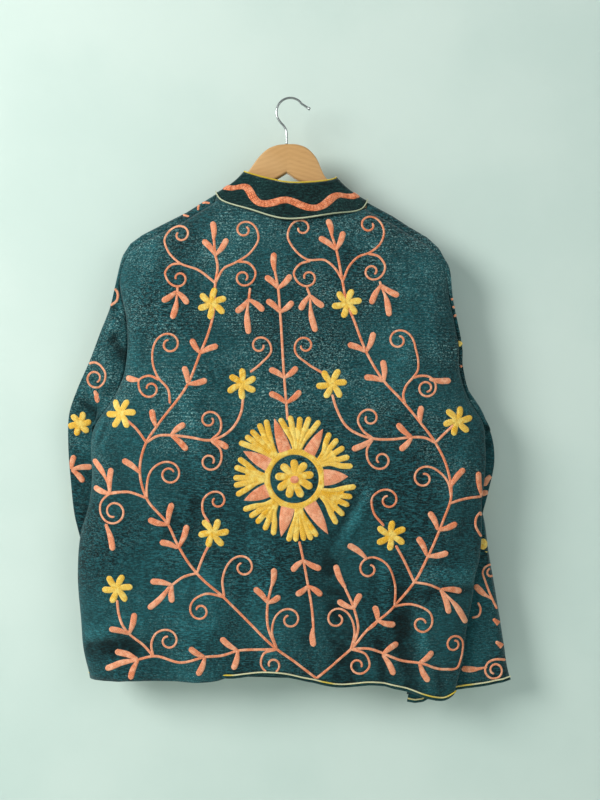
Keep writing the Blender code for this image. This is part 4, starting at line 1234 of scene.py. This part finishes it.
def tube(name, path, out, down, half, sides, finish, step, closed=False, twist=0.0, knob=0.0):
    """A strip or cord with an oval section. A twist gives it two plies, a knob a thicker end."""
    if closed:
        path, out, down = (np.concatenate([a, a[:1]]) for a in (path, out, down))
    at, path, out, down = resample(path, step, out, down)
    angles = np.arange(sides) * 2 * math.pi / sides
    thicker = knob * np.exp(-((at[-1] - KNOB_BACK - at) / KNOB_LENGTH) ** 2)
    swell = np.ones((len(at), sides)) + thicker[:, None]
    if twist:
        turns = angles[None] - 2 * math.pi * at[:, None] / twist
        swell = PLY_CORE + PLY_SWELL * np.abs(np.sin(turns))
    ring = path[:, None] + out[:, None] * (half[0] * swell * np.cos(angles))[..., None]
    ring = ring + down[:, None] * (half[1] * swell * np.sin(angles))[..., None]
    count = len(at)
    faces = grid_faces(count, sides, closed=True)
    if not closed:
        faces += [list(range(sides))[::-1], [(count - 1) * sides + s for s in range(sides)]]
    stitch = np.zeros((count, sides, 3))
    stitch[..., 0], stitch[..., 1] = at[:, None], angles[None]
    return mesh_object(name, ring.reshape(-1, 3), faces, finish, stitch.reshape(-1, 3))


def cord(name, path, out, down, finish, closed=False):
    """A twisted piping cord, in place of the plain one."""
    made = tube(name + "_cord", path, out, down, (PIPING_R, PIPING_R), CORD_SIDES, finish,
                CORD_STEP, closed, CORD_PITCH)
    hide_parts(name)


def trim_edge(name, edge, inside, out, finishes, closed=False):
    """The binding that caps a cloth edge and the piping above it, in place of the plain ones."""
    way = along(edge, closed)
    down = edge - inside
    down = unit(down - way * np.sum(down * way, -1, keepdims=True))
    out = unit(out - way * np.sum(out * way, -1, keepdims=True))
    drop = TRIM_GAP + BINDING_HALF[1]
    tape = tube(name + "_binding_tape", edge - out * WALL / 2 + down * drop, out, down,
                BINDING_HALF, TAPE_SIDES, finishes["binding"], TAPE_STEP, closed)
    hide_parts(name + "_binding")
    path = edge + out * (TRIM_GAP + PIPING_R) - down * PIPING_R * PIPING_SINK
    cord(name + "_piping", path, out, down, finishes["piping"], closed)


def neck_lip(top):
    """A turn-in above the neck edge of the back, hidden behind the collar."""
    collar_y = np.interp(top[:, 0], COLLAR["seam_x"][6:13], COLLAR["seam_y"][6:13])
    y = np.maximum(top[:, 1], collar_y) + LIP_DEPTH
    rise = np.interp(top[:, 0], LIP_RISE["x"], LIP_RISE["z"])
    return np.stack([top[:, 0], y, top[:, 2] + rise], -1)


def sided(name, side):
    return name + ("_left" if side < 0 else "_right")


def build_back(finishes):
    u, v = back_columns(), row_shares()
    grid = np.concatenate([back_points(u, v), back_return(v)], 1)
    main = grid[:, 1:len(u)]
    tucked = np.clip((HEM_TUCK[0] - main[-1, :, 0]) / HEM_TUCK[1], 0, 1)[:, None]
    trim_edge("back_hem", main[-1] + tucked * TUCK_STEP, main[-2] + tucked * TUCK_STEP,
              normals(main)[-1], finishes)
    main[-1, :, 2:] -= tucked * HEM_ROLL
    grid = np.concatenate([neck_lip(grid[0])[None], grid], 0)
    present = np.ones(grid.shape[:2], bool)
    present[:ARMHOLE_ROWS + 1, len(u):] = False
    present[0] = np.abs(grid[0, :, 0] - BACK_NECK["x"][[0, -1]].mean()) < NECK_REACH
    return build_sheet("back_panel", grid, (BACK_FOLDS, BACK_CREASES), finishes["cloth"], True,
                       *CUTS["back"], present)


def build_front(side, finishes):
    name = sided("front", side)
    u, v = front_columns(), row_shares()
    main = front_points(side, u, v)
    wrap = ridge_wrap(side, u)
    grid = np.concatenate([wrap, main], 0)
    present = np.ones(grid.shape[:2], bool)
    present[:len(wrap), u > NECK_U + 1e-6] = False
    if side > 0:
        strip = np.zeros((len(grid), len(STRIP_COLUMNS), 3))
        strip[len(wrap):] = strip_points(v)
        grid = np.concatenate([strip, grid], 1)
        shown = np.zeros(strip.shape[:2], bool)
        shown[len(wrap) + ARMHOLE_ROWS:] = True
        present = np.concatenate([shown, present], 1)
    tree = build_sheet(name, grid, (FRONT_CREASES,), finishes["cloth"], side > 0,
                       *CUTS[name], present)
    cloth = main[:, 1:]
    out = side * normals(cloth)
    trim_edge(name + "_hem", cloth[-1, :-1], cloth[-2, :-1], out[-1, :-1], finishes)
    if side > 0:
        strip = np.concatenate([strip_points(v), main[:, :1]], 1)
        trim_edge(name + "_fold_hem", strip[-1], strip[-2], normals(strip)[-1], finishes)
    trim_edge(name + "_edge", cloth[:, -1], cloth[:, -2], out[:, -1], finishes)
    return tree


def build_sleeve(side, finishes):
    name = sided("sleeve", side)
    grid = sleeve_points(side, SLEEVE_RINGS)
    tree = build_sheet(name, grid, (SLEEVE_CREASES,), finishes["cloth"], side < 0,
                       *CUTS[name], closed=True)
    out = normals(grid, True)[-1] * (-side)
    trim_edge(name + "_cuff", grid[-1], grid[-2], out, finishes, closed=True)
    return tree


def build_collar(finishes):
    grid = collar_points(COLLAR_COLUMNS, COLLAR_ROWS)
    tree = build_sheet("collar", grid, (), finishes["collar"], False, *CUTS["collar"])
    out = -normals(grid)
    rise = unit(grid[-1] - grid[-2])
    top = grid[-1] - out[-1] * WALL / 2 + rise * (PIPING_R + TRIM_GAP)
    cord("collar_edge_piping", top, out[-1], rise, finishes["piping_yellow"])
    seam = grid[0] + out[0] * (PIPING_R + TRIM_GAP) + rise * PIPING_R
    cord("collar_seam_piping", seam, out[0], rise, finishes["piping_grey"])
    return tree, grid, out


def build_arm(name, node_name, rows, finish):
    """A wooden arm, lofted finely through rounded upright sections."""
    x = rows["x"][0] + (rows["x"][-1] - rows["x"][0]) * np.linspace(0, 1, ARM_SECTIONS)
    tops = look_up(rows, "x", "top", x)
    bottoms = look_up(rows, "x", "bottom", x)
    sections = []
    for k in range(ARM_SECTIONS):
        outline = []
        for cy, cz, start in (
            (ARM_HALF - ARM_CORNER, tops[k] - ARM_CORNER, 0),
            (ARM_CORNER - ARM_HALF, tops[k] - ARM_CORNER, 90),
            (ARM_CORNER - ARM_HALF, bottoms[k] + ARM_CORNER, 180),
            (ARM_HALF - ARM_CORNER, bottoms[k] + ARM_CORNER, 270),
        ):
            for turn in range(0, 91, 15):
                angle = math.radians(start + turn)
                outline.append((x[k], cy + ARM_CORNER * math.cos(angle),
                                cz + ARM_CORNER * math.sin(angle)))
        sections.append(outline)
    ring = len(sections[0])
    faces = grid_faces(ARM_SECTIONS, ring, closed=True, flip=x[-1] > x[0])
    ends = [list(range(ring)), [(ARM_SECTIONS - 1) * ring + s for s in range(ring)]]
    faces += [ends[0][::-1], ends[1]] if x[-1] < x[0] else [ends[0], ends[1][::-1]]
    made = mesh_object(name, np.array(sections).reshape(-1, 3), faces, finish)
    made.data.set_sharp_from_angle(angle=math.radians(50))
    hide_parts(node_name)


def hook_path():
    """Centre line of the wire, from the wood up, round the bend and down to its tip."""
    foot = LEFT_ARM["top"][0] + HOOK_FOOT_GAP
    path = [(HOOK_STEM_X, z) for z in (foot, *HOOK_STEM_Z)]
    path += list(HOOK_NECK[::-1])
    centre = (HOOK_CENTRE_X, WIRE_R - HOOK_R)
    for degrees in np.arange(180, HOOK_BREAK_DEG - 1, -12):
        path.append(spoke(centre, math.radians(degrees), HOOK_R))
    last = path[-1]
    return path + [last + (HOOK_TIP - last) * share for share in (0.5, 1.0)]


def build_hook(finish):
    flat = curve_through(hook_path(), 1.0)
    path = np.stack([flat[:, 0], np.zeros(len(flat)), flat[:, 1]], -1)
    out = np.tile((0.0, 1.0, 0.0), (len(path), 1))
    made = tube("hanger_hook_wire", path, out, unit(np.cross(along(path), out)),
                (WIRE_R, WIRE_R), WIRE_SIDES, finish, WIRE_STEP, knob=WIRE_KNOB)
    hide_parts("hanger_hook")


class Stitching:
    """Gathers raised stitched shapes that follow a sheet, seen along Y from one side."""

    def __init__(self, tree, from_back):
        self.tree = tree
        self.y = -CAST_FROM if from_back else CAST_FROM
        self.points, self.faces, self.stitch = [], [], []

    def on_cloth(self, x, z):
        """The point under (x, z) and the direction off the cloth, or None beside it."""
        hit = self.tree.ray_cast(Vector((x, self.y, z)), Vector((0, -math.copysign(1, self.y), 0)))
        if hit[0] is None:
            return None
        normal = hit[1]
        if normal.y * self.y < 0:
            normal = -normal
        return np.array(hit[0]), np.array(normal)

    def add(self, path, half, rise, sections, shade=0.0, crosswise=False):
        """One stroke: its middle line in (x, z), its half width and its height at each point."""
        way = along(path)
        aside = np.stack([way[:, 1], -way[:, 0]], -1)
        at = distances(path)
        shares = SECTIONS[sections]
        previous = None
        for k in range(len(path)):
            row = []
            for share, lift in shares:
                p = path[k] + aside[k] * half[k] * share
                found = self.on_cloth(*p)
                if found is None or (row and abs(found[0][1] - row[-1][0][1]) > CAST_STEP):
                    row = None
                    break
                row.append((found[0], found[1] * (rise[k] * lift), half[k] * share))
            if row is None:
                previous = None
                continue
            start = len(self.points)
            for point, lift, across in row:
                self.points.append(point + lift)
                place_on = (across, at[k]) if crosswise else (at[k], across)
                self.stitch.append((*place_on, shade))
            if previous is not None:
                for s in range(len(shares) - 1):
                    self.faces.append((previous + s, previous + s + 1, start + s + 1, start + s))
            previous = start

    def build(self, name, finish):
        mesh_object(name, self.points, self.faces, finish, self.stitch)


def tapered(path, widths, blunt=True):
    """Half widths along a path, from shares of the way, rounded off at the ends."""
    at = distances(path)
    half = np.interp(at / at[-1], np.linspace(0, 1, len(widths)), widths)
    if blunt:
        for distance in (at, at[-1] - at):
            near = np.clip(1 - distance / np.maximum(half, 0.1), 0, 1)
            half = half * np.sqrt(np.maximum(1 - near ** 2, 0.02))
    return half


def shade_of(*numbers):
    """A fixed share from 0 to 1 for each place, so that no two motifs have one shade."""
    return (math.sin(sum(n * f for n, f in zip(numbers, (12.9898, 78.233, 37.719)))) * 43758.5) % 1


def line(stitching, points, half):
    path = curve_through(points, STEM_STEP)
    stitching.add(path, tapered(path, [half] * 2), np.full(len(path), STEM_RISE), "thin",
                  shade_of(*points[0]))


def leaf(stitching, base, tip, half=LEAF_HALF, rise=LEAF_RISE, widths=LEAF_WIDTHS):
    base, tip = np.array(base, float), np.array(tip, float)
    bend = np.array((base[1] - tip[1], tip[0] - base[0])) * LEAF_BEND
    bend = bend * (1 if shade_of(*base) > 0.5 else -1)
    path = curve_through([base, (base + tip) / 2 + bend, tip], LEAF_STEP)
    half = tapered(path, [half * w for w in widths])
    stitching.add(path, half, np.full(len(path), rise) * np.clip(half / 2, 0.5, 1), "wide",
                  shade_of(*tip))


def curl(stitching, approach, centre, coil, turns):
    """A scroll: in from its approach, then round its centre, ever closer."""
    centre = np.array(centre, float)
    last = np.array(approach[-1], float)
    reach = np.hypot(*(last - centre))
    start = math.atan2(*(last - centre)[::-1])
    angle = np.linspace(0, abs(turns) * 2 * math.pi, CURL_POINTS)[1:]
    radius = coil * (1 - CURL_CLOSING * angle / angle[-1])
    radius += (reach - coil) * np.exp(-CURL_EASE * angle)
    around = start + math.copysign(1, turns) * angle
    spiral = centre + radius[:, None] * np.stack([np.cos(around), np.sin(around)], -1)
    path = curve_through([*approach, *spiral], STEM_STEP)
    stitching.add(path, tapered(path, (STEM_HALF, CURL_HALF, CURL_HALF, CURL_HALF)),
                  np.full(len(path), STEM_RISE), "thin", shade_of(*centre))


def sprig(stitching, points):
    """Leaves from one base, which comes first."""
    for tip in points[1:]:
        leaf(stitching, points[0], tip)


def bud(stitching, base, tip):
    leaf(stitching, base, tip, widths=BUD_WIDTHS)


def flower(stitching, x, z, reach, petals, turn):
    for k in range(int(petals)):
        angle = turn + 360 * k / petals + PETAL_TURN * (shade_of(x, z, k) - 0.5)
        angle = math.radians(angle)
        length = reach * (PETAL_LENGTH[0] + PETAL_LENGTH[1] * shade_of(z, x, k))
        tip = (x + length * math.cos(angle), z + length * math.sin(angle))
        leaf(stitching, (x, z), tip, PETAL_HALF, YELLOW_RISE, PETAL_WIDTHS)


def ring(stitching, centre, radius, half):
    angle = np.linspace(0, 2 * math.pi, RING_POINTS)
    path = centre + radius * np.stack([np.cos(angle), np.sin(angle)], -1)
    stitching.add(path, np.full(len(path), half), np.full(len(path), YELLOW_RISE), "wide", 0.4)


def spoke(centre, angle, radius):
    return centre + radius * np.array((math.cos(angle), math.sin(angle)))


def rosette(yellow, coral, centre, scale):
    """The large flower of the back: a small flower in a ring, with fans and points around it."""
    centre = np.array(centre, float)
    ring(yellow, centre, RING_RADIUS * scale, RING_HALF * scale)
    for k in range(HEART_PETALS):
        angle = math.radians(HEART_TURN - 360 / HEART_PETALS * k)
        base, tip = (spoke(centre, angle, r * scale) for r in HEART_ENDS)
        leaf(yellow, base, tip, HEART_HALF * scale, YELLOW_RISE, HEART_WIDTHS)
    reach = np.array((MIDDLE_REACH * scale, 0))
    leaf(coral, centre - reach, centre + reach, MIDDLE_HALF * scale, YELLOW_RISE + MIDDLE_RISE,
         (1, 1, 1))
    for degrees, reach, spread in FANS:
        fan(yellow, centre, degrees, reach, spread, scale)
    for degrees, reach, half in POINTS:
        angle = math.radians(degrees)
        knots = [spoke(centre, angle, r * scale) for r in (*POINT_FOOT, reach)]
        path = curve_through(knots, LEAF_STEP)
        widths = [half * scale * (1 - t ** POINT_TAPER) + POINT_LEAST for t in np.linspace(0, 1, 9)]
        coral.add(path, tapered(path, widths, False), np.full(len(path), LEAF_RISE), "wide",
                  shade_of(degrees))


def fan(yellow, centre, degrees, reach, spread, scale):
    """A flared body that ends in five blunt fingers."""
    middle = math.radians(degrees)
    body = reach - FINGER_LENGTH
    path = curve_through([spoke(centre, middle, r * scale) for r in (*FAN_FOOT, body)], FAN_STEP)
    widths = [w * scale for w in (*FAN_WIDTHS, FAN_SHARE * math.radians(spread) * body)]
    yellow.add(path, tapered(path, widths, False), np.full(len(path), YELLOW_RISE * 0.8), "wide",
               shade_of(degrees, 1))
    for finger in range(-2, 3):
        lean = math.radians(spread * finger / 2 + 2 * (shade_of(degrees, finger) - 0.5))
        tip_r = reach + 3 * (shade_of(finger, degrees) - 0.5)
        near = (FINGER_NEAR_TIP[0], reach - FINGER_NEAR_TIP[1])
        knots = (*FINGER_PATH, near, (1, tip_r))
        path = curve_through([spoke(centre, middle + lean * share, r * scale)
                              for share, r in knots], LEAF_STEP)
        yellow.add(path, tapered(path, [w * scale for w in FINGER_WIDTHS]),
                   np.full(len(path), YELLOW_RISE * 1.15), "wide", shade_of(finger, degrees))


def stitch_design(yellow, coral, side=0):
    """The scrolling stems of the back, or of one side of it for a front."""
    for points in STEMS:
        points = kept(points, side)
        if len(points) > 1:
            line(coral, points, STEM_HALF)
    for approach, centre, coil, turns in CURLS:
        approach = kept(approach, side)
        if approach and kept((centre,), side):
            curl(coral, approach, centre, coil, turns)
    for points in LEAVES:
        if kept(points[:1], side):
            sprig(coral, points)
    for x0, z0, x1, z1 in zip(*BUDS.values()):
        if kept(((x0, z0),), side):
            bud(coral, (x0, z0), (x1, z1))
    for x, z, reach, petals, turn in zip(*FLOWERS.values()):
        if kept(((x, z),), side):
            flower(yellow, x, z, reach, petals, turn)


def kept(points, side):
    """The points of a motif, or those on the side of the back that a front repeats."""
    return [p for p in points if side == 0 or side * p[0] > FRONT_FROM]


def embroider(name, tree, from_back, finishes, stitch, *values):
    """One face's embroidery, by a function that fills its yellow and its coral stitching."""
    yellow, coral = Stitching(tree, from_back), Stitching(tree, from_back)
    stitch(yellow, coral, *values)
    for colour, stitching in (("coral", coral), ("yellow", yellow)):
        if stitching.points:
            stitching.build("embroidery_" + name + "_" + colour, finishes[colour])


def stitch_panel(yellow, coral, side, middle, scale):
    stitch_design(yellow, coral, side)
    rosette(yellow, coral, middle, scale)


def stitch_shoulder(yellow, coral):
    for points in SHOULDER_STEMS:
        line(coral, points, CURL_HALF)


def stitch_strip(yellow, coral):
    for points in STRIP_STEMS:
        line(coral, points, CURL_HALF)
    for approach, centre, coil, turns in STRIP_CURLS:
        curl(coral, approach, centre, coil, turns)
    for points in STRIP_LEAVES:
        sprig(coral, points)
    for base, tip in STRIP_BUDS:
        bud(coral, base, tip)
    flower(yellow, *STRIP_FLOWER)


def stitch_front(side, tree, finishes):
    name = sided("front", side)
    middle = (FRONT_ROSETTE[0] * side + FRONT_ROSETTE[1], FRONT_ROSETTE[2])
    embroider(name, tree, False, finishes, stitch_panel, side, middle, FRONT_ROSETTE[3])
    if side < 0:
        embroider("shoulder", tree, True, finishes, stitch_shoulder)
    else:
        embroider("fold", tree, True, finishes, stitch_strip)


def mirror(points, side):
    """The left sleeve's points, or where they are on the right one."""
    return [(x if side < 0 else -x - MIRROR_SHIFT, z) for x, z in points]


def stitch_face(yellow, coral, design, turned):
    """One face of a sleeve, mirrored where turned is 1."""
    for points in SLEEVE_STEMS[design]:
        line(coral, mirror(points, turned), STEM_HALF)
    for approach, centre, coil, turns in SLEEVE_CURLS[design]:
        centre = mirror((centre,), turned)[0]
        curl(coral, mirror(approach, turned), centre, coil, -turned * turns)
    for points in SLEEVE_LEAVES[design]:
        sprig(coral, mirror(points, turned))
    for x, z, reach in SLEEVE_FLOWERS[design]:
        flower(yellow, *mirror(((x, z),), turned)[0], reach, 6, 15)


def stitch_sleeve(side, tree, finishes):
    own = "left" if side < 0 else "right"
    for face, design, turned in (("back", own, -1), ("front", "front", side)):
        name = sided("sleeve", side) + "_" + face
        embroider(name, tree, face == "back", finishes, stitch_face, design, turned)


def wave_shares(s, at, line_x, line_y):
    """The wave's height at each distance along the collar, as a share of the collar's height."""
    on_back = line_y < -5
    knots = list(np.interp(WAVE_TURNS["x"], line_x[on_back], at[on_back]))
    shares = list(WAVE_TURNS["share"])
    while knots[0] > 0 or knots[-1] < at[-1]:
        turn = WAVE_LOW if shares[0] > 0.4 else WAVE_HIGH
        knots = [knots[0] - WAVE_HALF_LENGTH, *knots, knots[-1] + WAVE_HALF_LENGTH]
        shares = [turn, *shares, turn]
    knots, shares = np.array(knots), np.array(shares)
    k = np.searchsorted(knots, s) - 1
    ease = (1 - np.cos(math.pi * (s - knots[k]) / (knots[k + 1] - knots[k]))) / 2
    return shares[k] + (shares[k + 1] - shares[k]) * ease


def stitch_collar(grid, out, finish):
    """The satin-stitched wave along the collar."""
    seam = grid[COLLAR_ROWS // 2]
    at = distances(seam)
    s = np.arange(WAVE_ENDS, at[-1] - WAVE_ENDS, WAVE_STEP)
    column = np.interp(s, at, np.arange(COLLAR_COLUMNS))
    share = wave_shares(s, at, seam[:, 0], seam[:, 1])
    width = np.linalg.norm(grid[-1] - grid[0], axis=1)
    tall = np.interp(column, np.arange(COLLAR_COLUMNS), width)
    slope = np.gradient(share * tall, s)
    points, stitch = [], []
    for k in range(len(s)):
        lean = math.hypot(1, slope[k])
        for across, lift in SECTIONS["wide"]:
            step = across * WAVE_HALF
            c = column[k] - step * slope[k] / lean / (at[-1] / COLLAR_COLUMNS)
            r = (share[k] + step / lean / tall[k]) * (COLLAR_ROWS - 1)
            points.append(lookup_grid(grid, r, c) + lookup_grid(out, r, c) * lift * WAVE_RISE)
            stitch.append((step, s[k] / SATIN_PITCH, WAVE_SHADE))
    faces = grid_faces(len(s), len(SECTIONS["wide"]))
    made = mesh_object("embroidery_collar_wave", np.array(points), faces, finish, stitch)


def lookup_grid(grid, r, c):
    """A point between the points of a grid."""
    r = min(max(r, 0), grid.shape[0] - 1.001)
    c = min(max(c, 0), grid.shape[1] - 1.001)
    i, j = int(r), int(c)
    a, b = r - i, c - j
    top = grid[i, j] * (1 - b) + grid[i, j + 1] * b
    low = grid[i + 1, j] * (1 - b) + grid[i + 1, j + 1] * b
    return top * (1 - a) + low * a


def add_stage(finishes):
    """The wall that the jacket hangs on, and a floor far below."""
    for name, low, high in (
        ("wall", (WALL_Y, FLOOR_Z), (WALL_Y, STAGE_TOP)),
        ("floor", (STAGE_FRONT, FLOOR_Z), (WALL_Y, FLOOR_Z)),
    ):
        corners = [(-STAGE_REACH, *low), (STAGE_REACH, *low), (STAGE_REACH, *high),
                   (-STAGE_REACH, *high)]
        mesh = bpy.data.meshes.new("stage_" + name)
        mesh.from_pydata([tuple(v * MM for v in p) for p in corners], [], [(0, 1, 2, 3)])
        mesh.materials.append(finishes[name])
        made = link("stage_" + name, mesh)
        made.visible_shadow = name == "floor"


def add_light(name, place_at, size, power, colour):
    light = bpy.data.lights.new(name, "AREA")
    light.shape, light.size, light.energy, light.color = "DISK", size, power, colour
    made = link(name, light)
    made.location = place_at
    towards = Vector(LIT) - Vector(place_at)
    made.rotation_euler = towards.to_track_quat("-Z", "Y").to_euler()


def add_lights():
    world = bpy.data.worlds.new("room")
    bpy.context.scene.world = world
    world.use_nodes = True
    shade = world.node_tree.nodes["Background"]
    shade.inputs[0].default_value, shade.inputs[1].default_value = ROOM_LIGHT
    for name, values in LIGHTS.items():
        add_light(name, *values)


def add_camera():
    data = bpy.data.cameras.new("camera")
    data.sensor_width, data.lens = SENSOR, LENS
    made = link("camera", data)
    made.location = CAMERA_AT
    made.rotation_euler = (math.pi / 2, 0, 0)
    bpy.context.scene.camera = made


def make_finishes():
    return {
        "cloth": cloth_material("handloom_teal", "031517", "0e3235", "20585e", "8ebab8"),
        "collar": cloth_material("handloom_dark", "031011", "061d1e", "153735", "426c68"),
        "binding": cloth_material("binding_dark", "06191a", "0c2526", "183737", "305553"),
        "coral": thread_material("thread_coral", "c26234", "f69264", "ffc49e"),
        "satin": thread_material("thread_satin", "a04820", "e08052", "f8a87e"),
        "yellow": thread_material("thread_yellow", "cc8c12", "fdc52c", "ffec88"),
        "piping": cord_material("cord_cream", "d6d8b8", "dcc03c", "5a6244"),
        "piping_yellow": cord_material("cord_yellow", "d9c036", "c9ab26", "5a5520"),
        "piping_grey": cord_material("cord_grey", "c3c8a8", "9fa98b", "485646"),
        "wood": wood_material("hanger_wood_fine"),
        "chrome": chrome_material("hook_chrome"),
        "wall": wall_material("wall_paint", "bccbc4", "b5c6bf"),
        "floor": wall_material("floor_paint", "c9d3cf", "c3cfca"),
    }


def write_sizes():
    """Brings the scene's placements up to date."""
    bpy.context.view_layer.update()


def main():
    bpy.context.scene.view_settings.view_transform = "Standard"
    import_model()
    finishes = make_finishes()
    build_arm("hanger_left_wood", "hanger_arm_left", LEFT_ARM, finishes["wood"])
    build_arm("hanger_right_wood", "hanger_arm_right", RIGHT_ARM, finishes["wood"])
    build_hook(finishes["chrome"])
    embroider("back", build_back(finishes), True, finishes, stitch_panel, 0, ROSETTE, 1.0)
    for side in (-1, 1):
        stitch_front(side, build_front(side, finishes), finishes)
        stitch_sleeve(side, build_sleeve(side, finishes), finishes)
    tree, grid, out = build_collar(finishes)
    stitch_collar(grid, out, finishes["satin"])
    add_stage(finishes)
    add_lights()
    add_camera()
    write_sizes()


main()
